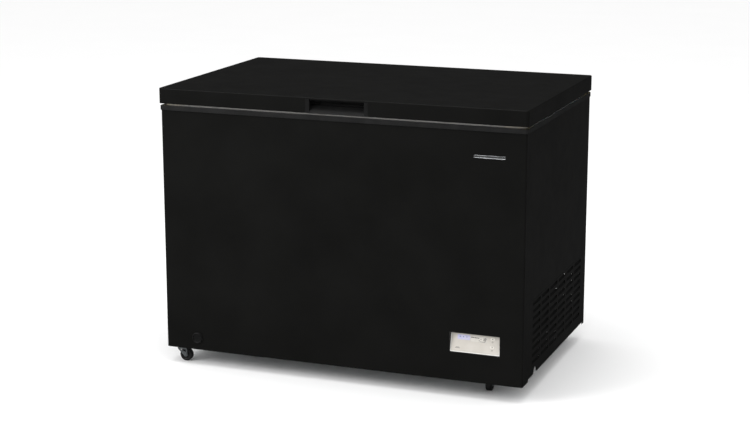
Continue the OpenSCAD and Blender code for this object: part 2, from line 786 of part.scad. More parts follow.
module control_fascia() color([0.8, 0.79, 0.77]) place() at_fascia() difference() {
  block([-fascia_w / 2, fascia_w / 2], [0, fascia_t], [0, fascia_h]);
  translate([display_cx, 0, display_cz]) face_block(display_w, display_h, [-cut, fascia_t + cut], 1.5);
  for (z = button_heights)
    translate([button_cx, 0, z])
      face_block(button_w + 2 * gap, button_h + 2 * gap, [-cut, fascia_t + cut], 2 + gap);
  for (i = [0 : 2])
    bar_y(light_x(i), [-cut, fascia_t + cut], fascia_h - light_drop, light_r + 0.1);
}

module display_window() color([0.03, 0.03, 0.035]) place() at_fascia()
  translate([display_cx, 0, display_cz])
    face_block(display_w - 0.2, display_h - 0.2, [0.4, fascia_t], 1.4);

module indicator_lights() color([0.25, 0.45, 0.75]) place() at_fascia()
  for (i = [0 : 2])
    bar_y(light_x(i), [0.2, fascia_t + 2], fascia_h - light_drop, light_r);

function light_x(i) = -fascia_w / 2 + light_first + i * light_pitch;

module control_board() color([0.1, 0.35, 0.18]) place() at_fascia() {
  block([-fascia_w / 2 + 8, fascia_w / 2 - 8], [board_y, board_y + 1.6], [4, fascia_h - 6]);
  block([display_cx - display_w / 2 + 1, display_cx + display_w / 2 - 1], [fascia_t + 0.2, board_y],
    [display_cz - display_h / 2 + 1, display_cz + display_h / 2 - 1]);
}

module button(z) color([0.86, 0.86, 0.85]) place() at_fascia() translate([button_cx, 0, z]) {
  face_block(button_w, button_h, [-1, fascia_t + gap], 2);
  face_block(button_w + 2, button_h + 2, [fascia_t + gap, fascia_t + gap + 1.5], 2);
  face_block(6, 4, [fascia_t + gap + 1.5, board_y - button_travel - 1], 1);
}

module button_upper() button(button_heights[1]);

module button_lower() button(button_heights[0]);

// Drain

module drain_outlet() color([0.07, 0.07, 0.07]) place() difference() {
  union() {
    bar_y(drain_cx, [-1.5, 0], drain_cz, drain_flange_r);
    bar_y(drain_cx, [0, outlet_l], drain_cz, drain_out_r + 3);
  }
  bar_y(drain_cx, [-cut - 2, outlet_l], drain_cz, drain_r);
  bar_y(drain_cx, [outlet_l - 10, outlet_l + cut], drain_cz, drain_out_r + 0.2);
}

module drain_pipe() color([0.85, 0.85, 0.84]) place() difference() {
  union() {
    bar_y(drain_cx, [outlet_l - 10, drain_cy], drain_cz, drain_out_r);
    translate([drain_cx, drain_cy, drain_cz]) {
      sphere(drain_out_r);
      cylinder(r = drain_out_r, h = floor_z + liner_t - drain_cz);
    }
  }
  bar_y(drain_cx, [0, drain_cy], drain_cz, drain_r);
  translate([drain_cx, drain_cy, drain_cz]) {
    sphere(drain_r);
    cylinder(r = drain_r, h = floor_z);
  }
}

module drain_cap() color([0.08, 0.08, 0.08]) place() {
  rim = 2.5;
  difference() {
    bar_y(drain_cx, [-cap_front, cap_t - cap_front], drain_cz, drain_flange_r - 1);
    bar_y(drain_cx, [-cap_front - cut, -cap_front + 2], drain_cz, drain_flange_r - 1 - rim);
  }
  block([drain_cx - drain_flange_r + rim, drain_cx + drain_flange_r - rim],
    [-cap_front + 0.5, -cap_front + 2], [drain_cz - 2, drain_cz + 2]);
  bar_y(drain_cx, [cap_t - cap_front, outlet_l - 4], drain_cz, drain_r - gap);
}

module inner_drain_plug() color([0.85, 0.85, 0.84]) place() {
  top = floor_z + liner_t;
  translate([drain_cx, drain_cy, top - 12]) cylinder(r = drain_r - gap, h = 12 + gap);
  translate([drain_cx, drain_cy, top + gap]) cylinder(r = drain_out_r + 3, h = 3);
  translate([drain_cx, drain_cy, top + gap + 3]) cylinder(r = 5, h = 8);
}

// Fasteners: each is a shank inside a hole and a head on the outside
module cabinet_screws() color([0.7, 0.7, 0.7]) place() {
  for (s = [-1, 1])
    for (x = [-screw_x, screw_x])
      for (z = [20, hinge_plate_h - 45])
        bar_y(s * hinge_x + x, [body_d + hinge_t, body_d + hinge_t + screw_h], hinge_foot() + z, screw_r);
  for (x = [vent_x - 4, vent_x + vent_w + 4])
    for (z = [vent_z[0] + 10, vent_z[1] - 10])
      bar_y(x, [body_d + skin_t, body_d + skin_t + 2], z, 4);
  for (x = [panel_cx - 31, panel_cx - 15])
    translate([x, flange_screw_y(), ground_gap - 6]) cylinder(r = 4, h = 6);
}

function hinge_foot() = frame_z - 10 - hinge_plate_h;

function flange_screw_y() = 9;

// Castors and rollers

// A wheel with a bored hub, its axle along Y
module wheel() {
  rotate([90, 0, 0]) difference() {
    union() {
      translate([0, 0, -wheel_w / 2]) cylinder(r = wheel_r - 1.5, h = wheel_w);
      translate([0, 0, -wheel_w / 2 + 1.5]) cylinder(r = wheel_r, h = wheel_w - 3);
      translate([0, 0, -wheel_w / 2 - 0.4]) cylinder(r = axle_r + 3, h = wheel_w + 0.8);
    }
    translate([0, 0, -wheel_w]) cylinder(r = axle_r, h = 2 * wheel_w);
    for (s = [-1, 1])
      translate([0, 0, s * (wheel_w / 2 - 1)]) difference() {
        cylinder(r = wheel_r - 6, h = 3, center = true);
        cylinder(r = axle_r + 3, h = 4, center = true);
      }
  }
}

module axle() {
  rotate([90, 0, 0]) {
    translate([0, 0, -fork_in - fork_t]) cylinder(r = axle_r - running, h = 2 * (fork_in + fork_t));
    for (s = [-1, 1]) translate([0, 0, s * (fork_in + fork_t + 0.8)])
      cylinder(r = axle_r + 1.5, h = 1.6, center = true);
  }
}

// A fork with its stem on the Z axis, trailing towards +X
module fork() {
  difference() {
    union() {
      translate([0, 0, fork_top - 2.5]) cylinder(r = 14, h = 2.5);
      block([-10, trail], [-fork_in - fork_t, fork_in + fork_t], [fork_top - 2.5, fork_top]);
      for (y = [-fork_in - fork_t, fork_in])
        translate([0, y + fork_t, 0]) rotate([90, 0, 0]) linear_extrude(fork_t) {
          polygon([[-10, fork_top - 2.5], [-10, fork_top - 9], [trail - 6, wheel_r - 2],
            [trail + 6, wheel_r - 2], [trail + 5, fork_top - 9], [trail, fork_top - 2.5]]);
          translate([trail, wheel_r]) circle(fork_eye_r);
        }
      translate([0, 0, fork_top]) cylinder(r = stem_r - running, h = stem_top - fork_top);
    }
    translate([trail, 0, wheel_r]) rotate([90, 0, 0])
      cylinder(r = axle_r, h = 4 * fork_in, center = true);
  }
}

function left_castor() = [-half_w + left_castor_x, left_castor_y, 0];

function right_castor() = [half_w - right_castor_x, right_castor_y, 0];

module at_left_castor() {
  place() translate(left_castor()) children();
}

module at_right_castor() {
  place() translate(right_castor()) rotate([0, 0, 90]) children();
}

module castor_plates() color([0.75, 0.76, 0.77]) place()
  for (p = [left_castor(), right_castor()]) translate(p) difference() {
    union() {
      translate([-11, 0, 0])
        block([-plate_w / 2 + 11, plate_w / 2 + 11], [-left_castor_y + rail_front + 10, 24],
          [plate_top - plate_t, plate_top]);
      translate([0, 0, fork_top + gap]) cylinder(r = stem_r + 4, h = plate_top - plate_t - fork_top);
    }
    translate([0, 0, fork_top - cut]) cylinder(r = stem_r, h = 20);
  }

module left_castor_fork() color([0.75, 0.76, 0.77]) at_left_castor() fork();

module left_castor_axle() color([0.6, 0.6, 0.6]) at_left_castor() translate([trail, 0, wheel_r]) axle();

module left_castor_wheel() color([0.05, 0.05, 0.05]) at_left_castor() translate([trail, 0, wheel_r]) wheel();

module right_castor_fork() color([0.75, 0.76, 0.77]) at_right_castor() fork();

module right_castor_axle() color([0.6, 0.6, 0.6]) at_right_castor() translate([trail, 0, wheel_r]) axle();

module right_castor_wheel() color([0.05, 0.05, 0.05]) at_right_castor()
  translate([trail, 0, wheel_r]) wheel();

module at_rear_roller(side) {
  place() translate([side * (half_w - rear_roller_x), bracket_axle_y, wheel_r]) rotate([0, 0, 90])
    children();
}

module rear_roller_brackets() color([0.75, 0.76, 0.77])
  for (side = [-1, 1]) at_rear_roller(side) difference() {
    top = plate_top - wheel_r;
    union() {
      block([-20, 20], [-fork_in - fork_t, fork_in + fork_t], [top - plate_t, top]);
      for (y = [-fork_in - fork_t, fork_in])
        translate([0, y + fork_t, 0]) rotate([90, 0, 0]) linear_extrude(fork_t) {
          polygon([[-16, top - plate_t], [-6, 0], [6, 0], [16, top - plate_t]]);
          circle(fork_eye_r);
        }
    }
    rotate([90, 0, 0]) cylinder(r = axle_r, h = 4 * fork_in, center = true);
  }

module rear_roller_axles() color([0.6, 0.6, 0.6])
  for (side = [-1, 1]) at_rear_roller(side) axle();

module rear_left_roller() color([0.05, 0.05, 0.05]) at_rear_roller(-1) wheel();

module rear_right_roller() color([0.05, 0.05, 0.05]) at_rear_roller(1) wheel();

// Hinges

module at_hinge(side) {
  place() translate([side * hinge_x, 0, 0]) children();
}

// A piece of sheet in the plane of the hinge's ears, between two places along its pin
module hinge_sheet(x) {
  translate([x[0], 0, 0]) rotate([90, 0, 90]) linear_extrude(x[1] - x[0]) children();
}

module hinge_base(side) color([0.5, 0.51, 0.52]) at_hinge(side) difference() {
  union() {
    block([-ear_out, ear_out], [body_d, body_d + hinge_t], [hinge_foot(), frame_z - 1]);
    for (x = [[-ear_out, -ear_in], [ear_in, ear_out]]) hinge_sheet(x) {
      translate([pin_y, pin_z]) circle(ear_r);
      polygon([[body_d + hinge_t / 2, frame_z - 60], [body_d + hinge_t + 3, frame_z - 60],
        [pin_y + ear_r, pin_z - 12], [pin_y + ear_r, pin_z], [pin_y, pin_z + 2],
        [body_d + top_frame_proud + 2, frame_z - 1], [body_d + hinge_t / 2, frame_z - 1]]);
    }
  }
  bar_x([-2 * ear_out, 2 * ear_out], pin_y, pin_z, hinge_pin_r + 0.02);
}

module left_hinge_base() hinge_base(-1);

module right_hinge_base() hinge_base(1);

module hinge_pins() color([0.7, 0.7, 0.7])
  for (side = [-1, 1]) at_hinge(side) {
    bar_x([-ear_out - 3, ear_out + 3], pin_y, pin_z, hinge_pin_r);
    for (x = [[-ear_out - 3, -ear_out - 0.5], [ear_out + 0.5, ear_out + 3]])
      bar_x(x, pin_y, pin_z, hinge_pin_r + 2);
  }

module hinge_springs() color([0.35, 0.35, 0.36])
  for (side = [-1, 1]) at_hinge(side)
    for (i = [-4 : 4])
      translate([i * (2 * spring_wire + 0.2), pin_y, pin_z]) rotate([0, 90, 0])
        rotate_extrude() translate([spring_r, 0]) circle(spring_wire, $fn = 24);

module hinge_leaf(side) color([0.5, 0.51, 0.52]) at_hinge(side) {
  outer = ear_in - 0.5;
  web_z = pin_z + knuckle_r + 1;
  difference() {
    union() {
      for (x = [[-outer, -outer + knuckle_w], [outer - knuckle_w, outer]]) hinge_sheet(x) {
        translate([pin_y, pin_z]) circle(knuckle_r);
        translate([leaf_y, pin_z]) square([hinge_back - lid_over, knuckle_r + 1 + hinge_t]);
      }
      block([-outer, outer], [leaf_y, leaf_y + hinge_t], [web_z, web_z + leaf_h]);
    }
    bar_x([-2 * ear_out, 2 * ear_out], pin_y, pin_z, hinge_pin_r + running);
  }
  for (x = [-screw_x, screw_x])
    bar_y(x, [leaf_y + hinge_t, leaf_y + hinge_t + screw_h], web_z + leaf_h - 12, screw_r);
}

module left_hinge_leaf() hinge_leaf(-1);

module right_hinge_leaf() hinge_leaf(1);

// Lid

lid_x = half_w + lid_over;
lid_back = body_d + lid_over;
handle_x = [-handle_w / 2, handle_w / 2];
handle_z = [lid_z, total_h - handle_top];

module lid_area(inset, z) {
  rounded_block([-lid_x + inset, lid_x - inset], [-lid_over + inset, lid_back - inset], z,
    lid_corner_r - min(inset, lid_corner_r - 1));
}

module handle_space(extra) {
  block([handle_x[0] - extra, handle_x[1] + extra], [-lid_over - cut, handle_d - lid_over + extra],
    [handle_z[0] - cut, handle_z[1] + extra]);
}

module plug_block(inset, z) {
  reach = cavity_x - plug_gap - inset;
  rounded_block([-reach, reach], [cavity_front + plug_gap + inset, cavity_back - plug_gap - inset], z,
    liner_in_r - inset);
}

module lid_panel() color([0.1, 0.1, 0.1]) place() difference() {
  lid_area(0, [lid_z, total_h]);
  lid_area(skin_t, [lid_z - cut, total_h - skin_t]);
  handle_space(gap);
}

module lid_foam() color([0.86, 0.8, 0.62]) place() difference() {
  union() {
    lid_area(skin_t + gap, [lid_z + lid_liner_t, total_h - skin_t]);
    plug_block(lid_liner_t, [lid_z - plug_h + lid_liner_t, lid_z + lid_liner_t]);
  }
  handle_space(0);
}

module lid_liner() color([0.9, 0.91, 0.92]) place() difference() {
  union() {
    lid_area(skin_t + gap, [lid_z, lid_z + lid_liner_t]);
    plug_block(0, [lid_z - plug_h, lid_z]);
  }
  plug_block(lid_liner_t, [lid_z - plug_h + lid_liner_t, lid_z + 2 * lid_liner_t]);
  handle_space(0);
}

module lid_gasket() color([0.35, 0.35, 0.34]) place() difference() {
  outer = gasket_inset;
  inner = gasket_inset + gasket_w;
  rounded_block([-lid_x + outer, lid_x - outer], [-lid_over + outer, lid_back - outer],
    [frame_top, lid_z], gasket_w + 6);
  rounded_block([-lid_x + inner, lid_x - inner], [-lid_over + inner, lid_back - inner],
    [frame_top - cut, lid_z + cut], 6);
}

module lid_handle() color([0.07, 0.07, 0.075]) place() {
  recess = handle_w / 2 - cheek_w;
  front = -lid_over;
  slot_z = lid_z + 21;
  difference() {
    block(handle_x, [front, front + handle_d], handle_z);
    translate([-recess, 0, 0]) rotate([90, 0, 90]) linear_extrude(2 * recess) polygon([
      [front - cut, handle_z[1] - 1], [front, handle_z[1] - 1], [front + recess_d, slot_z + finger_h],
      [front + recess_d, slot_z], [front, handle_z[0] + 2], [front - cut, handle_z[0] + 2]
    ]);
    block([-finger_w / 2, finger_w / 2], [front + recess_d - cut, front + recess_d + finger_d],
      [slot_z, slot_z + finger_h]);
  }
}

// Basket

// A flat grid of wires over an area, drawn in its own plane
module grid(w, h) {
  nx = max(1, round((w - wire_t) / wire_pitch));
  ny = max(1, round((h - wire_t) / wire_pitch));
  for (i = [0 : nx]) translate([i * (w - wire_t) / nx, 0]) square([wire_t, h]);
  for (j = [0 : ny]) translate([0, j * (h - wire_t) / ny]) square([w, wire_t]);
}

module wire_basket() color([0.88, 0.88, 0.87]) place() {
  joint = 0.2;
  y = [cavity_front + basket_gap, cavity_back - basket_gap];
  depth = y[1] - y[0];
  side_h = basket_h - wire_t - joint;
  side_z = basket_z + wire_t + joint;
  translate([basket_x, y[0], basket_z]) linear_extrude(wire_t) grid(basket_l, depth);
  for (side = [0, 1]) {
    y0 = side == 0 ? y[0] : y[1] - wire_t;
    hook_out = basket_gap + hook_w;
    hook_y = side == 0 ? [y[0] - hook_out, y[0] + wire_t] : [y[1] - wire_t, y[1] + hook_out];
    translate([basket_x, y0 + wire_t, side_z]) rotate([90, 0, 0]) linear_extrude(wire_t)
      grid(basket_l, side_h);
    block([basket_x, basket_x + basket_l], hook_y, [basket_top, basket_top + wire_t]);
    block([basket_x, basket_x + basket_l], [y0, y0 + wire_t], [basket_top - wire_t, basket_top + wire_t]);
  }
  for (x = [basket_x, basket_x + basket_l - wire_t])
    translate([x, y[0] + wire_t + joint, side_z]) rotate([90, 0, 90]) linear_extrude(wire_t)
      grid(depth - 2 * (wire_t + joint), side_h - 8);
}

cabinet_shell();
back_panel();
base_panel();
insulation_foam();
inner_liner();
top_frame();
name_badge();
side_grille();
rear_vent_cover();
front_rail();
rear_rail();
compressor_tray();
compressor();
compressor_grommets();
terminal_cover();
filter_dryer();
discharge_pipe();
liquid_pipe();
suction_pipe();
capillary_tube();
evaporator_coil();
condenser_coil();
wiring_harness();
control_housing();
control_fascia();
display_window();
indicator_lights();
control_board();
button_upper();
button_lower();
drain_outlet();
drain_pipe();
drain_cap();
inner_drain_plug();
cord_gland();
cabinet_screws();
castor_plates();
left_castor_fork();
left_castor_axle();
left_castor_wheel();
right_castor_fork();
right_castor_axle();
right_castor_wheel();
rear_roller_brackets();
rear_roller_axles();
rear_left_roller();
rear_right_roller();
left_hinge_base();
right_hinge_base();
hinge_pins();
hinge_springs();
left_hinge_leaf();
right_hinge_leaf();
lid_panel();
lid_foam();
lid_liner();
lid_gasket();
lid_handle();
wire_basket();
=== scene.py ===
"""Looks of a black chest freezer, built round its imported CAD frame.

Every place is read from the frame's nodes, so the pieces follow the CAD when it changes. Lengths are metres.
"""
import json
import math

import bmesh
import bpy
from mathutils import Matrix, Vector


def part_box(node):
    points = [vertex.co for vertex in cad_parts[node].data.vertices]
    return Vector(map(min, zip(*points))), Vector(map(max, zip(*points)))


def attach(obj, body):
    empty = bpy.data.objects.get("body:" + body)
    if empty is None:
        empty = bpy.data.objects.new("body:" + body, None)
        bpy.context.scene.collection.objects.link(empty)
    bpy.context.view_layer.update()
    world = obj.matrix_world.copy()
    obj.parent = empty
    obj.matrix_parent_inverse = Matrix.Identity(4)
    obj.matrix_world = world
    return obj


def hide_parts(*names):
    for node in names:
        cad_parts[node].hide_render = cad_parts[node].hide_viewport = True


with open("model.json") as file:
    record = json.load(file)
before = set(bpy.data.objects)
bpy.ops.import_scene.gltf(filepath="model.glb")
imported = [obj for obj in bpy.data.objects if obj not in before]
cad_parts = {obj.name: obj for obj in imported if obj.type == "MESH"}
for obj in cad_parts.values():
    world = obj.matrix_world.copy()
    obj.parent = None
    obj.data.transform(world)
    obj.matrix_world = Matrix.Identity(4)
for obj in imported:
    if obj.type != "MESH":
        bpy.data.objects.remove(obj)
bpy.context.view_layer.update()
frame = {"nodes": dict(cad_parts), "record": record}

MM = 0.001


# ---- places

class Span:
    """The limits of a CAD node's box along each axis, in metres."""

    def __init__(self, node):
        low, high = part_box(node)
        self.x = (low[0], high[0])
        self.y = (low[1], high[1])
        self.z = (low[2], high[2])

    def middle(self):
        return Vector([(a + b) / 2 for a, b in (self.x, self.y, self.z)])


CABINET = Span("cabinet_shell")
LID = Span("lid_panel")
HANDLE = Span("lid_handle")
GASKET = Span("lid_gasket")
LID_LINER = Span("lid_liner")
GRILLE = Span("side_grille")
BASKET = Span("wire_basket")


# ---- materials

def linear(colour):
    """An sRGB hex colour, such as "#1a1a1c", as the linear RGBA that Blender's sockets take."""
    parts = [int(colour[i:i + 2], 16) / 255 for i in (1, 3, 5)]
    return [c / 12.92 if c <= 0.04045 else ((c + 0.055) / 1.055) ** 2.4 for c in parts] + [1.0]


def add(tree, kind, **settings):
    """Adds a node. Each setting is a property of the node or one of its inputs, where _ stands for a space;
    an input may be given another node's output, which links it, or a plain value."""
    made = tree.nodes.new(kind)
    for key, value in settings.items():
        if hasattr(made, key) and not isinstance(value, bpy.types.NodeSocket):
            setattr(made, key, value)
            continue
        number = int(key[2:]) if key.startswith("in") and key[2:].isdigit() else None
        socket = made.inputs[number] if number is not None else made.inputs[key.replace("_", " ")]
        if isinstance(value, bpy.types.NodeSocket):
            tree.links.new(value, socket)
        else:
            socket.default_value = value
    return made


def ramp(tree, factor, stops):
    """A colour ramp through hex colours, each at its place."""
    made = add(tree, "ShaderNodeValToRGB", Fac=factor)
    elements = made.color_ramp.elements
    while len(elements) < len(stops):
        elements.new(0.5)
    for element, (place, colour) in zip(elements, stops.items()):
        element.position = place
        element.color = linear(colour)
    return made.outputs["Color"]


def spread(tree, factor, low, high):
    """A 0 to 1 value stretched to run from low to high."""
    return add(tree, "ShaderNodeMapRange", Value=factor, To_Min=low, To_Max=high).outputs["Result"]


def noise(tree, place, size, detail=2.0, roughness=0.5):
    """Noise whose features are about size millimetres across."""
    return add(tree, "ShaderNodeTexNoise", Vector=place, Scale=1000 / size, Detail=detail,
               Roughness=roughness).outputs["Fac"]


def bump(tree, height, depth):
    """A normal raised by a 0 to 1 height over depth millimetres."""
    return add(tree, "ShaderNodeBump", Height=height, Distance=depth * MM, Strength=1.0).outputs["Normal"]


def finish(name, **shader):
    """A new material. Returns it with its tree, its shader and the object's own coordinates."""
    material = bpy.data.materials.new(name)
    material.use_nodes = True
    tree = material.node_tree
    tree.nodes.clear()
    surface = add(tree, "ShaderNodeBsdfPrincipled", **shader)
    add(tree, "ShaderNodeOutputMaterial", Surface=surface.outputs["BSDF"])
    place = add(tree, "ShaderNodeTexCoord").outputs["Object"]
    return material, tree, surface, place


def wire(tree, surface, **inputs):
    """Feeds patterns to a shader's inputs."""
    for key, output in inputs.items():
        tree.links.new(output, surface.inputs[key.replace("_", " ")])


def pattern(tree, place, source, *detail):
    """A noise of source millimetres, or what source makes when it is a function."""
    return source(tree, place) if callable(source) else noise(tree, place, source, *detail)


def cloudy(name, tone, colours, sheen, relief=None, **shader):
    """A finish with a pattern each for its colour, its roughness and its relief.

    tone, sheen and relief begin with what pattern takes. sheen ends with the least and the greatest
    roughness, and relief with its depth in millimetres.
    """
    material, tree, surface, place = finish(name, **shader)
    wire(tree, surface, Base_Color=ramp(tree, pattern(tree, place, *tone), colours),
         Roughness=spread(tree, pattern(tree, place, *sheen[:-2]), *sheen[-2:]))
    if relief:
        wire(tree, surface, Normal=bump(tree, pattern(tree, place, *relief[:-1]), relief[-1]))
    return material


def cells(size, socket, **settings):
    """A source that divides a surface into cells, size millimetres across."""
    return lambda tree, place: add(tree, "ShaderNodeTexVoronoi", Vector=place, Scale=1000 / size,
                                   **settings).outputs[socket]


def crystals(size, channel):
    """A source with a grey of its own for each cell."""
    return lambda tree, place: add(tree, "ShaderNodeSeparateColor",
                                   Color=cells(size, "Color")(tree, place)).outputs[channel]


def pebbles(tree, place):
    """Raised pebbles with flat valleys between them."""
    distance = cells(6, "Distance", feature="SMOOTH_F1", Smoothness=0.7)(tree, place)
    return add(tree, "ShaderNodeMapRange", Value=distance, From_Min=0.15, From_Max=0.6, To_Min=1.0,
               To_Max=0.0).outputs["Result"]


def hairlines(tree, place):
    lines = add(tree, "ShaderNodeMapping", Vector=place, Scale=(1.0, 1.0, 60.0)).outputs["Vector"]
    return noise(tree, lines, 9, 4)


def tracks(tree, place):
    return add(tree, "ShaderNodeTexBrick", Vector=place, Scale=1000 / 12, Mortar_Size=0.03).outputs["Fac"]


def violet_film():
    # Printed diffusing film over the lamps: pale violet-blue, with a faint painted glow (its own emission)
    # that stands in for being lit a little from behind
    material, tree, surface, place = finish("violet_diffusing_film", IOR=1.5, Emission_Strength=0.12)
    tint = ramp(tree, noise(tree, place, 14, 2), {0.3: "#a9abcf", 0.7: "#c4bfcf"})
    wire(tree, surface, Base_Color=tint, Emission_Color=tint,
         Roughness=spread(tree, noise(tree, place, 3, 3), 0.3, 0.45))
    return material


def studio_floor():
    # Seamless pale paper: almost white with a very faint mottling. Painted reflection: to glossy rays the
    # floor is dark grey, so its reflections on the freezer are painted darker
    material, tree, surface, place = finish("pale_paper_floor", IOR=1.4, Specular_IOR_Level=0.1)
    paper = ramp(tree, noise(tree, place, 400, 3), {0.3: "#fcfcfc", 0.7: "#fdfdfd"})
    gloss = add(tree, "ShaderNodeLightPath").outputs["Is Glossy Ray"]
    # Painted reflection: glossy rays get dark grey #4a4a4a in place of the pale paper
    tone = add(tree, "ShaderNodeMix", data_type="RGBA", in0=gloss, in6=paper, in7=linear("#4a4a4a"))
    wire(tree, surface, Base_Color=tone.outputs[2],
         Roughness=spread(tree, noise(tree, place, 300, 2), 0.85, 0.95))
    return material


